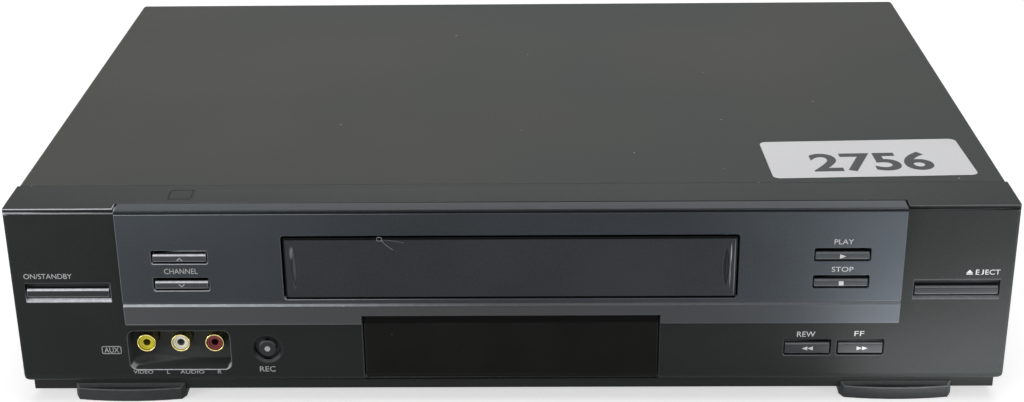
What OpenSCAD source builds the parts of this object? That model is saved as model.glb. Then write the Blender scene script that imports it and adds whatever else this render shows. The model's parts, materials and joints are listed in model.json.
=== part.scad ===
// Video cassette recorder: a steel case behind a moulded front, with its tape mechanism and boards inside.
// X runs to the right, Y to the back and Z up. The origin is in the middle, on the surface it stands on.
// Inside the file the flat face of the front is at y = 0, and place() moves each piece to the real origin.

/* [Case] */
// Width of the case
body_w = 430; // [400:1:460]
// Depth of the case behind the flat front face
body_d = 290.6; // [280:0.2:340]
// Height of the case with its feet
body_h = 95; // [92:0.5:110]
// Thickness of the cover's steel sheet
cover_t = 1.2; // [0.8:0.1:1.6]
// Radius of the fold along the top edges of the cover
fold_r = 2.5; // [1.5:0.1:4]
// Height of the lip that the cover turns down at the back
back_lip_h = 11; // [8:0.5:16]
// Thickness of the base pan's sheet
pan_t = 1.2; // [0.8:0.1:1.6]
// Height of the base pan's underside above the table
pan_z = 4; // [3:0.1:6]
// Distance from the front face back to the base pan
pan_inset = 8; // [5:0.5:12]
// Height of the pan's turned-up sides
pan_side_h = 12; // [9:0.5:16]
// Thickness of the rear panel
panel_t = 1.5; // [1:0.1:2.5]
// How far the rear sockets stand out of the case
socket_proud = 8.4; // [6:0.1:12]

/* [Front bezel] */
// Depth of the bezel
bezel_d = 25.5; // [24:0.5:34]
// Thickness of its walls
wall = 2.5; // [1.8:0.1:3]
// Height of its lower edge
bezel_z = 11.5; // [9:0.1:13]
// Height at which the flat face starts to curve under
face_z = 16.2; // [15:0.1:17]
// Height of the lip above the groove
lip_h = 0.7; // [0.5:0.1:1.2]
// Height of the groove under the lip
groove_h = 1.7; // [1:0.1:2.2]
// Depth of the groove
groove_d = 1.1; // [0.6:0.1:1.6]
// Radius of the bezel's upright corners
corner_r = 1.5; // [1:0.1:4]
// Side of the square outline on the top of the bezel
tab_side = 10; // [6:0.5:12]
// Distance of that outline from the middle
tab_x = -141.5; // [-160:0.5:-120]

/* [Centre fascia] */
// Width of the fascia
fascia_w = 334; // [326:1:344]
// Height of the fascia
fascia_h = 54.5; // [52.5:0.5:56]
// How far it stands out of the bezel
fascia_proud = 3; // [2.6:0.1:4]
// Depth of the strip that it lays on top of the bezel
fascia_top_d = 5.5; // [4:0.1:8]
// Distance of the crease along it below the top
crease_drop = 45; // [44:0.1:46]

/* [Cassette door] */
// Width of the door
door_w = 192.4; // [190:0.2:194]
// Distance of the door's upper edge below the top
door_drop = 12.6; // [11:0.1:12.8]
// Height of the door
door_h = 28.1; // [27.6:0.1:29]
// Thickness of the door
door_t = 2.2; // [1.8:0.1:2.4]
// Gap round the door
door_gap = 0.9; // [0.6:0.1:1.2]
// Radius of its hinge pins
door_pin_r = 0.6; // [0.5:0.05:0.7]
// Height of the scoop at each end of the door
scoop_h = 18; // [12:0.5:22]

/* [Display window] */
// Width of the window
window_w = 127.4; // [110:0.2:140]
// Height of its lower edge
window_z = 12.9; // [12.5:0.1:14]
// How far it reaches up into the fascia
window_lap = 3.8; // [2.5:0.1:5.5]
// How far its face lies behind the fascia's
window_sink = 3.6; // [3.2:0.1:4]

/* [Buttons] */
// How far a button travels
key_travel = 1; // [0.6:0.1:1.2]
// Gap round a button in its slot
key_gap = 0.6; // [0.4:0.1:0.9]
// Distance of the channel, play and stop slots from the middle
side_key_x = 140.75; // [134:0.25:146]
// Width of those slots
side_key_w = 24; // [18:0.5:28]
// Height of those slots
side_key_h = 6.2; // [5:0.1:8]
// Distance of the upper pair's middle below the top
upper_key_drop = 21.4; // [18:0.1:24]
// Distance of the lower pair's middle below the top
lower_key_drop = 34.1; // [32:0.1:36]
// Distance of the power and eject slots from the fascia's ends
wing_key_in = 5.55; // [4:0.05:8]
// Distance of those slots from the sides of the case
wing_key_out = 5.65; // [5:0.05:8]
// Height of the power and eject slots at the face
wing_key_h = 9.2; // [8:0.1:11]
// Distance of their middle below the top
wing_key_drop = 39.3; // [33:0.1:45]
// How far their sloping lip runs in
wing_lip = 1.3; // [0.8:0.1:1.6]
// Place of the rewind slot across the front
rewind_x = 128.7; // [124:0.1:129]
// Place of the fast forward slot across the front
forward_x = 151.7; // [151:0.1:158]
// Width of the wind slots
wind_key_w = 20.5; // [16:0.5:21]
// Height of the wind slots
wind_key_h = 7.8; // [6:0.1:9]
// Height of their middle and the record button's, as a share of the band under the fascia
wind_key_share = 0.4815; // [0.425:0.0005:0.58]
// Place of the record button across the front
record_x = -106.5; // [-110:0.5:-100]
// Radius of the record button
record_r = 3.95; // [3:0.05:4.5]
// Radius of its hole
record_hole_r = 5.6; // [5.2:0.1:6]
// Radius of the dish round the hole
record_dish_r = 6.8; // [6.5:0.1:7.5]

/* [Front jacks] */
// Middle of the jack recess across the front
jack_x = -145; // [-150:0.5:-140]
// Width of the recess
recess_w = 44.5; // [42:0.5:48]
// Height of the recess, as a share of the band under the fascia
recess_share = 0.774; // [0.715:0.001:0.8]
// Height of its middle, as a share of that band
recess_middle = 0.4565; // [0.436:0.0005:0.488]
// Depth of the recess
recess_d = 11; // [9:0.5:12]
// Distance between jacks
jack_pitch = 15; // [13:0.5:15.5]
// How far the jacks lie above the recess's middle, as a share of its height
jack_share = 0.106; // [0:0.002:0.12]
// Outer radius of a phono jack's sleeve
sleeve_r = 4.15; // [4.1:0.01:4.2]
// Inner radius of the sleeve
sleeve_bore_r = 3.6; // [3.4:0.05:3.7]
// Radius of the hole for the plug's centre pin
contact_r = 1.6; // [1.5:0.05:1.7]
// Length of sleeve that a plug goes over
sleeve_l = 8; // [7:0.1:9]

/* [Feet] */
// Distance of the feet from the middle
foot_x = 170; // [150:1:185]
// Width of a front foot
foot_w = 49.5; // [30:0.5:50]
// How far the middle of its face stands out in front of the pan
foot_out = 5.1; // [4:0.1:6]
// How far a front foot's face bows out
foot_bow = 2.1; // [1:0.1:3]
// Height of a front foot's face
foot_h = 6; // [5:0.1:7]
// Length of a front foot under the pan
foot_l = 22; // [14:1:30]
// Radius of a rear foot
rear_foot_r = 11; // [8:0.5:14]

/* [Front board] */
// Distance of the board behind the front face
board_y = 20; // [19.5:0.1:21]
// Thickness of the circuit boards
board_t = 1.6; // [1.2:0.1:2]
// Height of a push switch's body
switch_h = 3.5; // [3:0.1:4]
// Length of its plunger
plunger_l = 1.2; // [0.8:0.1:1.4]
// Width of the display tube
tube_w = 104; // [80:1:110]

/* [Boards] */
// Height of the boards' underside above the table
boards_z = 12; // [11:0.1:13]
// Width of the transformer's core
core_w = 44; // [38:1:46]
// Height of the transformer
transformer_h = 40; // [34:1:46]
// Radius of the main capacitor
main_can_r = 12.5; // [9:0.5:13]
// Height of the main capacitor
main_can_h = 40; // [30:1:46]
// Length of the heat sink
sink_l = 50; // [40:1:52]
// Height of the heat sink
sink_h = 42; // [30:1:46]
// Width of the tuner can
tuner_w = 56; // [48:1:60]
// Depth of the tuner can
tuner_d = 60; // [50:1:66]
// Height of the shield can
shield_h = 18; // [12:0.5:24]

/* [Cassette holder] */
// Width inside the holder
holder_in_w = 190; // [189:0.2:191]
// Height inside the holder
holder_in_h = 26; // [25.4:0.1:26.4]
// How far its floor lies below the door's lower edge
holder_drop = 0.3; // [0.1:0.1:0.5]
// Depth of the holder
holder_d = 90; // [80:1:96]
// Distance of the holder behind the front face
holder_y = 30; // [29:0.5:34]
// Thickness of the mechanism's sheet
sheet_t = 1.2; // [0.8:0.1:1.4]
// How far the holder travels back
travel_in = 45; // [40:0.5:48]
// How far above the deck plate it comes to rest
deck_gap = 2.5; // [2:0.1:4]
// Gap between sliding sheets
slide_gap = 0.5; // [0.3:0.1:0.7]
// Radius of the pins that carry the holder
carry_pin_r = 1.5; // [1.2:0.05:1.8]

/* [Lift gear] */
// Module of the rack and its pinion
gear_m = 1; // [0.8:0.05:1]
// Teeth on the pinion
pinion_n = 16; // [16:1:18]
// Backlash at the pitch line
backlash = 0.3; // [0.2:0.05:0.4]
// Radius of the pinion's shaft
pinion_shaft_r = 1.55; // [1.3:0.05:1.8]
// Radius of the belt pulley on that shaft
pulley_r = 8; // [6.5:0.25:8.25]
// Radius of the loading motor
motor_r = 9.5; // [8:0.5:10]
// Length of the loading motor
motor_l = 24; // [18:1:28]

/* [Deck] */
// Height of the deck plate's underside
deck_z = 24; // [23.5:0.1:24.5]
// Thickness of the deck plate
deck_t = 1.5; // [1.2:0.1:2]
// How far the deck plate stands out beside the carriage
deck_rim = 6.1; // [5:0.1:8]
// Depth of the deck plate
deck_d = 200; // [196:1:206]
// Radius of the head drum
drum_r = 31; // [28:0.5:31.5]
// Height of the fixed lower drum
drum_low_h = 19; // [16:0.5:21]
// Height of the turning upper drum
drum_up_h = 13; // [10:0.5:15]
// Lean of the drum
drum_tilt = 5; // [3:0.5:6]
// Distance of a reel table from the middle
reel_x = 46; // [45:0.25:47]
// Radius of a reel table
reel_r = 17; // [14:0.5:19]
// Radius of a reel table's spindle
spindle_r = 5; // [4:0.25:6]
// Radius of the capstan shaft
capstan_r = 1.5; // [1.2:0.1:2]
// Radius of the capstan motor's rotor
rotor_r = 24; // [20:0.5:26]
// Radius of the pinch roller
pinch_r = 6; // [5:0.25:6.5]

/* [Rear sockets] */
// Width of a 21-pin socket
scart_w = 47; // [46:0.5:48]
// Height of a 21-pin socket
scart_h = 16; // [15:0.5:17]
// Radius of the aerial sockets' plug fit
aerial_r = 4.75; // [4.7:0.01:4.8]
// Distance between the mains inlet's pins
mains_pitch = 8.6; // [8.4:0.1:8.8]
// Radius of the mains inlet's pins
mains_pin_r = 1.2; // [1.1:0.05:1.25]

/* [Hidden] */
$fn = 48;

eps = 0.02; // overlap of cutting shapes
fit = 0.05; // radial clearance of a shaft in its hole
gap = 0.3; // clearance between pieces that lie beside each other
middle_y = (body_d + socket_proud - fascia_proud) / 2;
half_w = body_w / 2;
cover_in = half_w - cover_t; // inside of the cover's sides
roof_z = body_h - cover_t; // underside of the cover's top
pan_half = cover_in - 0.6; // outside of the pan's sides
pan_back = body_d - cover_t - panel_t - 0.2; // outside of the pan's back
floor_z = pan_z + pan_t; // top of the pan's floor
groove_top = body_h - lip_h;
groove_low = groove_top - groove_h;
fascia_half = fascia_w / 2;
fascia_y = -fascia_proud; // the fascia's face
fascia_z = body_h - fascia_h;
crease_z = body_h - crease_drop;
band_h = fascia_z - face_z; // height of the flat face under the fascia
door_half = door_w / 2;
door_top = body_h - door_drop;
door_z = door_top - door_h;
door_axis_y = fascia_y + door_t / 2;
door_axis_z = door_top - 0.8;
pivot_l = 2.2; // depth of the door's pin holes
window_half = window_w / 2;
window_top = fascia_z + window_lap;
window_y = fascia_y + window_sink; // the window's face
window_t = 2.2;
stem_y = board_y - switch_h - plunger_l - key_travel - gap; // back end of a button's stem
boss_r = 2.6;
front_bosses = [for (side = [-1, 1], p = [[half_w - 11, face_z + 5.8], [half_w - 11, body_h - 11],
    [fascia_half - 53, body_h - 9], [fascia_half - 75, fascia_z - 2.5]]) [side * p[0], p[1]]];

key_bevel = 1.3; // bevel along the top of a button's face
key_drop = 1.2; // how much lower a button's face ends than its slot
upper_key_z = body_h - upper_key_drop;
lower_key_z = body_h - lower_key_drop;
wing_key_z = body_h - wing_key_drop;
wing_key_w = half_w - wing_key_out - fascia_half - wing_key_in;
wing_key_x = half_w - wing_key_out - wing_key_w / 2;
wind_key_z = face_z + band_h * wind_key_share;
recess_h = band_h * recess_share;
recess_z = face_z + band_h * recess_middle;
jack_z = recess_z + recess_h * jack_share;
root_r = sleeve_r - 0.25; // radius of a jack's sleeve inside its block
wing_hole_h = wing_key_h - 2 * wing_lip; // height of the power and eject holes behind their lip

// Mechanism
holder_half = holder_in_w / 2 + sheet_t;
slider_x = holder_half + slide_gap; // inner face of a lift slider
bracket_x = slider_x + sheet_t + slide_gap; // inner face of a carriage side
bracket_t = 1.5;
holder_z = door_z - holder_drop;
holder_top = holder_z + holder_in_h + 2 * sheet_t;
carry_pin_z = holder_top - 3.4;
slider_y0 = holder_y + 28;
slider_y1 = slider_y0 + travel_in + 15;
slider_top = holder_top + 3.1;
carry_pin_y = [holder_y + 45, holder_y + 68];
stud_r = 1.7;
stud_y = [slider_y0 + 6, slider_y1 - 6];
stud_z = slider_top - 2.2;
deck_top = deck_z + deck_t;
deck_w = 2 * (bracket_x + bracket_t + deck_rim);
travel_down = holder_z - deck_top - deck_gap; // how far the holder travels down
pinion_r = gear_m * pinion_n / 2;
pinion_z = deck_top + pinion_r + gear_m + 1.1;
rack_z = pinion_z + pinion_r; // pitch line of the rack
pinion_y = slider_y1 - 8;
addendum = 0.8 * gear_m;
dedendum = 1.1 * gear_m;
pressure = 20; // pressure angle
slider_z0 = rack_z + dedendum;
bracket_y0 = holder_y + 10;
bracket_y1 = slider_y1 + travel_in + 8;
bracket_top = slider_top + 0.5;
pulley_x = bracket_x + bracket_t + 3.4; // middle of the belt's lane
pulley_half = 2.5; // half of a pulley's width
deck_y = 34; // front edge of the deck plate
reel_y = holder_y + holder_d + 1;
drum_x = -8;
drum_y = holder_y + holder_d + travel_in + drum_r + 6;
drum_z = deck_top + 5;
capstan_x = 60;
capstan_y = holder_y + holder_d + travel_in + 8;
arm_pivot = [capstan_x + 26, capstan_y + 8];
arm_l = 20; // from the pinch arm's pivot to its roller
arm_open = 25; // swing of the pinch arm between its open place and the capstan
arm_reach = capstan_r + pinch_r + gap; // from the capstan to the roller when the arm is closed
arm_line = arm_pivot - [capstan_x, capstan_y];
arm_closed = acos((pow(norm(arm_line), 2) + pow(arm_l, 2) - pow(arm_reach, 2))
    / (2 * norm(arm_line) * arm_l));
arm_angle = 180 + atan2(arm_line[1], arm_line[0]) - arm_closed - arm_open;
roller_at = arm_pivot + arm_l * [cos(arm_angle), sin(arm_angle)];
roller_z = deck_top + 9;
tension_pivot = [-86, capstan_y + 4];
tension_tip = tension_pivot + [17, -4];
motor_y = pinion_y + 34; // shaft of the loading motor
motor_pulley_r = 3.5;
groove_in = 1.5; // depth of the pulleys' grooves
belt_w = 1;

// Boards and rear sockets
boards_top = boards_z + board_t;
boards_back = pan_back - pan_t - 0.6;
core_y = deck_y + 144; // middle of the transformer and the main capacitor
side_board_x = deck_w / 2 + 4; // inner edge of the boards beside the deck
board_edge = pan_half - pan_t - 3; // outer edge of those boards
panel_y = body_d - cover_t - panel_t; // inner face of the rear panel
panel_out = panel_y + panel_t;
tuner_x = tuner_w / 2 + 9 - half_w;
tuner_z = boards_top + 20.4;
tuner_pitch = 24;
tuner_y = panel_y - tuner_d; // front of the tuner can
scart_x = [tuner_x + 66, tuner_x + 124];
scart_z = boards_top + scart_h / 2;
rear_jack_x = [tuner_x + 186, tuner_x + 186 + jack_pitch];
rear_jack_z = boards_top + 10;
mains_x = half_w - 29;
mains_z = boards_top + 9;
mains_w = 17;
mains_h = 10;
mains_d = 16;
lip_screw_z = body_h - 9; // screws through the cover's back lip
pan_screw_z = pan_z + 5.5; // screws through the pan's back
panel_screws = [[15 - half_w, lip_screw_z], [0, lip_screw_z], [half_w - 15, lip_screw_z],
    [65 - half_w, pan_screw_z], [half_w - 65, pan_screw_z]];
pan_screws = [for (x = [95 - half_w, half_w - 95], y = [pan_inset + 22, pan_back - 17.7]) [x, y]];

// ---- helpers ----
module place() { translate([0, -middle_y, 0]) children(); }

// Box from its two ends along each axis
module block(x, y, z) { translate([x[0], y[0], z[0]]) cube([x[1] - x[0], y[1] - y[0], z[1] - z[0]]); }

// Outline in Y and Z, carried across from x[0] to x[1]
module across(x) { translate([x[0], 0, 0]) rotate([90, 0, 90]) linear_extrude(x[1] - x[0]) children(); }

// Outline in X and Z, carried back from y[0] to y[1]
module through(y) { translate([0, y[1], 0]) rotate([90, 0, 0]) linear_extrude(y[1] - y[0]) children(); }

// Round bar along Y, and along X
module bar_y(x, z, r, y) { translate([x, y[0], z]) rotate([-90, 0, 0]) cylinder(r = r, h = y[1] - y[0]); }
module bar_x(y, z, r, x) { translate([x[0], y, z]) rotate([0, 90, 0]) cylinder(r = r, h = x[1] - x[0]); }

// The stretch from a to b beside the middle: to the right where side is 1, to the left where it is -1
function on_side(side, a, b) = side > 0 ? [a, b] : [-b, -a];

function arc(c, r, a0, a1, n) = [for (i = [0:n]) let (a = a0 + (a1 - a0) * i / n) c + r * [cos(a), sin(a)]];

function rounded(w, h, r, n = 5) = concat(
    arc([w / 2 - r, h / 2 - r], r, 0, 90, n), arc([r - w / 2, h / 2 - r], r, 90, 180, n),
    arc([r - w / 2, r - h / 2], r, 180, 270, n), arc([w / 2 - r, r - h / 2], r, 270, 360, n));

module soft_rect(w, h, r) { polygon(rounded(w, h, r)); }

// ---- case ----
module bottom_pan() {
    slot_w = 2.5;
    color("#3a3c3b") place() difference() {
        union() {
            difference() {
                block([-pan_half, pan_half], [pan_inset, pan_back], [pan_z, pan_z + pan_side_h]);
                block([pan_t - pan_half, pan_half - pan_t], [pan_inset + pan_t, pan_back - pan_t],
                    [floor_z, body_h]);
                block([-half_w, half_w], [0, bezel_d + gap], [bezel_z - 0.1, body_h]);
                block([-half_w, half_w], [pan_back - pan_t - 1, body_d], [boards_z, body_h]);
            }
            for (x = [-board_edge + 8, -side_board_x - 8, side_board_x + 8, board_edge - 8],
                    y = [bezel_d + 20, boards_back - 8])
                translate([x, y, floor_z - eps]) cylinder(r = 4, h = boards_z - floor_z + eps, $fn = 24);
            for (x = [-deck_w / 2 + 8, deck_w / 2 - 8], y = [deck_y + 8, deck_y + deck_d - 8])
                translate([x, y, floor_z - eps]) cylinder(r = 4, h = deck_z - floor_z + eps, $fn = 24);
        }
        for (side = [-1, 1], i = [0:9])
            translate([side * (half_w - 55), 120 + 8 * i, pan_z - eps])
                linear_extrude(pan_t + 2 * eps) square([50, slot_w], center = true);
        for (s = pan_screws) translate([s[0], s[1], pan_z - 1]) cylinder(r = 1.6, h = pan_t + 2, $fn = 24);
        for (s = panel_screws) if (s[1] == pan_screw_z)
            bar_y(s[0], s[1], 1.6, [pan_back - pan_t - 1, pan_back + 1]);
    }
}

// Folded steel sheet: an arch whose top edges are folds of fold_r, with a lip turned down at the back
module top_cover() {
    skirt = body_h - bezel_z;
    color("#525452") place() difference() {
        union() {
            difference() {
                through([bezel_d, body_d]) polygon(concat([[-half_w, bezel_z]],
                    [for (p = arc([fold_r - half_w, body_h - fold_r], fold_r, 180, 90, 6)) p],
                    [for (p = arc([half_w - fold_r, body_h - fold_r], fold_r, 90, 0, 6)) p],
                    [[half_w, bezel_z]]));
                through([bezel_d - 1, body_d + 1]) polygon(concat([[-cover_in, bezel_z - 1]],
                    [for (p = arc([fold_r - half_w, body_h - fold_r], fold_r - cover_t, 180, 90, 6)) p],
                    [for (p = arc([half_w - fold_r, body_h - fold_r], fold_r - cover_t, 90, 0, 6)) p],
                    [[cover_in, bezel_z - 1]]));
            }
            block([1 - cover_in, cover_in - 1], [body_d - cover_t, body_d],
                [body_h - back_lip_h, roof_z + eps]);
        }
        for (s = panel_screws) if (s[1] == lip_screw_z)
            bar_y(s[0], s[1], 1.6, [body_d - cover_t - 1, body_d + 1]);
    }
}

// Side view of the bezel: lip, groove, flat face and a curved lower edge
module bezel_side() {
    under = face_z - bezel_z;
    polygon(concat(
        [[bezel_d, bezel_z], [bezel_d, body_h], [0.9, body_h], [0.4, body_h - 0.25], [0.3, groove_top],
            [groove_d, groove_top - 0.1], [groove_d, groove_low + 0.2], [0.15, groove_low],
            [0, groove_low - 0.2], [0, face_z]],
        [for (a = [15:15:75]) [under * 0.62 * (1 - cos(a)), face_z - under * sin(a)]],
        [[under * 0.62, bezel_z]]));
}

module key_slots() {
    for (side = [-1, 1], z = [upper_key_z, lower_key_z])
        through([fascia_y - 1, wall + 1]) translate([side * side_key_x, z])
            soft_rect(side_key_w, side_key_h, 0.8);
}

module wing_slot(side) {
    low = wing_key_z - wing_key_h / 2;
    top = wing_key_z + wing_key_h / 2;
    across([side * wing_key_x - wing_key_w / 2, side * wing_key_x + wing_key_w / 2])
        polygon([[-1, low - 0.6], [0, low], [wing_lip, low + wing_lip], [wall + 1, low + wing_lip],
            [wall + 1, top - wing_lip], [wing_lip, top - wing_lip], [0, top], [-1, top + 0.6]]);
}

module door_opening(extra) {
    through([fascia_y - 1, wall + 1]) translate([0, door_z + door_h / 2])
        soft_rect(door_w + 2 * (door_gap + extra), door_h + 2 * (door_gap + extra), 1.4);
}

// Outline of the gap that the window lies in, open at the bezel's lower edge
module window_gap(extra) {
    block([-window_half - extra, window_half + extra], [fascia_y - 1, wall + 1],
        [window_z - extra, window_top + extra]);
}

module front_bezel() {
    pocket_t = 1.5;
    low_r = 3.5;
    color("#303332") place() difference() {
        union() {
            difference() {
                intersection() {
                    across([-half_w, half_w]) bezel_side();
                    translate([0, bezel_d, 0]) linear_extrude(body_h + 1) polygon(concat([[-half_w, 0]],
                        arc([corner_r - half_w, corner_r - bezel_d], corner_r, 180, 270, 5),
                        arc([half_w - corner_r, corner_r - bezel_d], corner_r, 270, 360, 5),
                        [[half_w, 0]]));
                    through([-1, bezel_d + 1]) polygon(concat([[-half_w, body_h + 1]],
                        arc([low_r - half_w, bezel_z + low_r], low_r, 180, 270, 5),
                        arc([half_w - low_r, bezel_z + low_r], low_r, 270, 360, 5),
                        [[half_w, body_h + 1]]));
                }
                block([wall - half_w, half_w - wall], [wall, bezel_d + 1], [bezel_z + wall, body_h - wall]);
            }
            for (b = front_bosses) bar_y(b[0], b[1], boss_r, [wall - eps, board_y], $fn = 24);
            through([wall - eps, recess_d + pocket_t]) translate([jack_x, recess_z])
                soft_rect(recess_w + 2 * pocket_t, recess_h + 2 * pocket_t, 3);
        }
        through([-1, recess_d]) translate([jack_x, recess_z]) soft_rect(recess_w, recess_h, 3);
        for (i = [-1:1])
            bar_y(jack_x + i * jack_pitch, jack_z, sleeve_r + 0.2, [recess_d - 1, recess_d + 3]);
        key_slots();
        for (side = [-1, 1]) wing_slot(side);
        for (x = [rewind_x, forward_x])
            through([-1, wall + 1]) translate([x, wind_key_z]) soft_rect(wind_key_w, wind_key_h, 0.8);
        bar_y(record_x, wind_key_z, record_hole_r, [-1, wall + 1]);
        translate([record_x, -eps, wind_key_z]) rotate([-90, 0, 0])
            cylinder(r1 = record_dish_r, r2 = record_hole_r, h = 0.9);
        door_opening(0.9);
        window_gap(0.7);
        block([-fascia_half - door_gap, fascia_half + door_gap], [-1, fascia_top_d + 0.4],
            [groove_low, body_h + 1]);
        translate([tab_x, bezel_d - 10.5, body_h - 0.3]) linear_extrude(1) difference() {
            square(tab_side, center = true);
            square(tab_side - 0.8, center = true);
        }
    }
}

// Side view of the fascia: strip on top, lip, groove, face, crease and lower band
module fascia_side() {
    seat = groove_low + 0.1;
    polygon([[fascia_top_d, seat], [fascia_top_d, body_h], [fascia_y + 1, body_h],
        [fascia_y + 0.5, body_h - 0.25], [fascia_y + 0.5, body_h - 0.6], [fascia_y + 1.6, body_h - 0.7],
        [fascia_y + 1.6, body_h - 1.5],
        [fascia_y + 0.15, body_h - 1.6], [fascia_y, body_h - 1.8], [fascia_y, crease_z + 1.9],
        [fascia_y + 0.7, crease_z + 1.5], [fascia_y + 0.7, crease_z + 1], [fascia_y, crease_z + 0.1],
        [fascia_y, crease_z - 0.3], [fascia_y + 0.2, crease_z - 0.8],
        [fascia_y + 0.5, fascia_z + 0.7], [fascia_y + 1.1, fascia_z], [0, fascia_z], [0, seat]]);
}

module centre_fascia() {
    color("#4a4e54") place() difference() {
        across([-fascia_half, fascia_half]) fascia_side();
        key_slots();
        door_opening(0);
        window_gap(0.7);
        bar_x(door_axis_y, door_axis_z, door_pin_r + fit,
            [-door_half - door_gap - pivot_l, door_half + door_gap + pivot_l], $fn = 24);
    }
}

// Window with a flange that seats behind the bezel's wall
module display_window() {
    rim = 2.5;
    color("#1b1a1a") place() {
        across([-window_half, window_half]) polygon([[window_y, window_top], [window_y, face_z],
            [window_y + 0.4, face_z - 1.4], [window_y + 1, window_z], [window_y + window_t + 0.4, window_z],
            [window_y + window_t + 0.4, window_top]]);
        block([-window_half - rim, window_half + rim], [wall + gap, wall + gap + 1.2],
            [bezel_z + wall + gap, window_top + rim]);
    }
}

// Front feet: a bowed face with sloping ends stands out before the pan, the rest lies under it
module front_feet() {
    bow_r = (pow(foot_w / 2, 2) + pow(foot_bow, 2)) / (2 * foot_bow);
    front = pan_inset - foot_out;
    half = foot_w / 2;
    color("#1f2020") place() for (side = [-1, 1]) translate([side * foot_x, 0, 0]) intersection() {
        translate([0, front + bow_r, 0]) cylinder(r = bow_r, h = foot_h + 2, $fn = 96);
        linear_extrude(foot_h + 2) polygon([[-half, pan_inset + foot_l], [-half, pan_inset],
            [1.8 - half, front + foot_bow], [1.8 - half, front - 1], [half - 1.8, front - 1],
            [half - 1.8, front + foot_bow], [half, pan_inset], [half, pan_inset + foot_l]]);
        union() {
            intersection() {
                across([-half, half]) polygon([[front - 1, 0], [front - 1, foot_h],
                    [front + foot_bow + 0.3, foot_h], [pan_inset - 0.1, foot_h + 1.3],
                    [pan_inset - 0.1, 0]]);
                through([front - 1, pan_inset]) translate([0, foot_h]) soft_rect(foot_w, 2 * foot_h, 1.8);
            }
            block([-half, half], [pan_inset - 1, pan_inset + foot_l], [0, pan_z]);
        }
    }
}

module rear_feet() {
    color("#1f2020") place() for (side = [-1, 1]) translate([side * foot_x, body_d - 28, 0])
        rotate_extrude() polygon([[0, 0], [rear_foot_r - 1, 0], [rear_foot_r, 1], [rear_foot_r, pan_z],
            [0, pan_z]]);
}

// Outline of a 21-pin socket: a rectangle with one corner cut away
module scart_outline(grow) {
    w = scart_w + 2 * grow;
    h = scart_h + 2 * grow;
    cut = h * 0.42;
    polygon([[-w / 2, -h / 2], [w / 2, -h / 2], [w / 2, h / 2 - 1], [w / 2 - 1, h / 2],
        [cut * 0.6 - w / 2, h / 2], [-w / 2, h / 2 - cut]]);
}

module rear_panel() {
    cut = [panel_y - 1, panel_out + 1];
    color("#3a3c3b") place() difference() {
        through([panel_y, panel_out]) polygon([[gap - cover_in, floor_z], [cover_in - gap, floor_z],
            [cover_in - gap, roof_z - fold_r], [cover_in - fold_r, roof_z - gap],
            [fold_r - cover_in, roof_z - gap], [gap - cover_in, roof_z - fold_r]]);
        for (x = scart_x) through(cut) translate([x, scart_z]) scart_outline(0.3);
        for (i = [-1, 1]) bar_y(tuner_x + i * tuner_pitch / 2, tuner_z, aerial_r + 1.4, cut);
        for (x = rear_jack_x) bar_y(x, rear_jack_z, sleeve_r + 0.3, cut);
        through(cut) translate([mains_x, mains_z]) soft_rect(mains_w + 0.4, mains_h + 0.4, 1);
        for (s = panel_screws) bar_y(s[0], s[1], 1.6, cut);
        for (i = [0:11])
            through(cut) translate([half_w - 105 + 6 * i, body_h - 35]) soft_rect(2.4, 26, 1.1);
    }
}

// Pan-head screw pointing along +Z, with its head's seat at z = 0
module screw(shank) {
    difference() {
        union() {
            translate([0, 0, -2]) rotate_extrude($fn = 24)
                polygon([[0, 0], [1.9, 0], [2.8, 0.7], [2.9, 2], [0, 2]]);
            translate([0, 0, -eps]) cylinder(r = 1.5, h = shank + eps, $fn = 24);
        }
        for (a = [0, 90]) rotate([0, 0, a]) translate([0, 0, -2]) cube([3, 0.6, 1.6], center = true);
    }
}

module case_screws() {
    color("#8a8c8c") place() {
        for (s = panel_screws) translate([s[0], s[1] == lip_screw_z ? body_d : panel_out, s[1]])
            rotate([90, 0, 0]) screw(7);
        for (s = pan_screws) translate([s[0], s[1], pan_z]) screw(6);
    }
}

// ---- front board and jacks ----
module front_board() {
    edge = half_w - wall - 3;
    notch = door_half + 10;
    low = bezel_z + wall + 0.6;
    color("#2f5a3a") place() through([board_y, board_y + board_t]) polygon([[-edge, low], [edge, low],
        [edge, body_h - wall - 2], [notch, body_h - wall - 2], [notch, door_z - 6], [-notch, door_z - 6],
        [-notch, body_h - wall - 2], [-edge, body_h - wall - 2]]);
}

function switch_places() = [[-wing_key_x, wing_key_z], [wing_key_x, wing_key_z],
    [-side_key_x, upper_key_z], [-side_key_x, lower_key_z], [side_key_x, upper_key_z],
    [side_key_x, lower_key_z], [rewind_x, wind_key_z], [forward_x, wind_key_z], [record_x, wind_key_z]];

module tact_switches() {
    color("#b9bbb9") place() for (s = switch_places()) {
        block([s[0] - 3, s[0] + 3], [board_y - switch_h, board_y], [s[1] - 3, s[1] + 3]);
        bar_y(s[0], s[1], 1.7, [board_y - switch_h - plunger_l, board_y - switch_h + eps], $fn = 24);
    }
}

module display_tube() {
    tube_h = (window_top - window_z) * 0.67;
    mid_z = (window_top + window_z) / 2;
    pin_pitch = tube_w / 19;
    color("#25332f") place() {
        through([board_y - 7.5, board_y - 2]) translate([0, mid_z]) soft_rect(tube_w, tube_h, 1);
        for (i = [-8:8]) block([i * pin_pitch - 0.4, i * pin_pitch + 0.4], [board_y - 2.5, board_y],
            [mid_z - 6.5, mid_z - 5.7]);
        translate([-tube_w / 2 - 1.8, board_y - 5, mid_z]) rotate([0, 90, 0])
            cylinder(r1 = 1, r2 = 2, h = 2, $fn = 16);
    }
}

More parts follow.
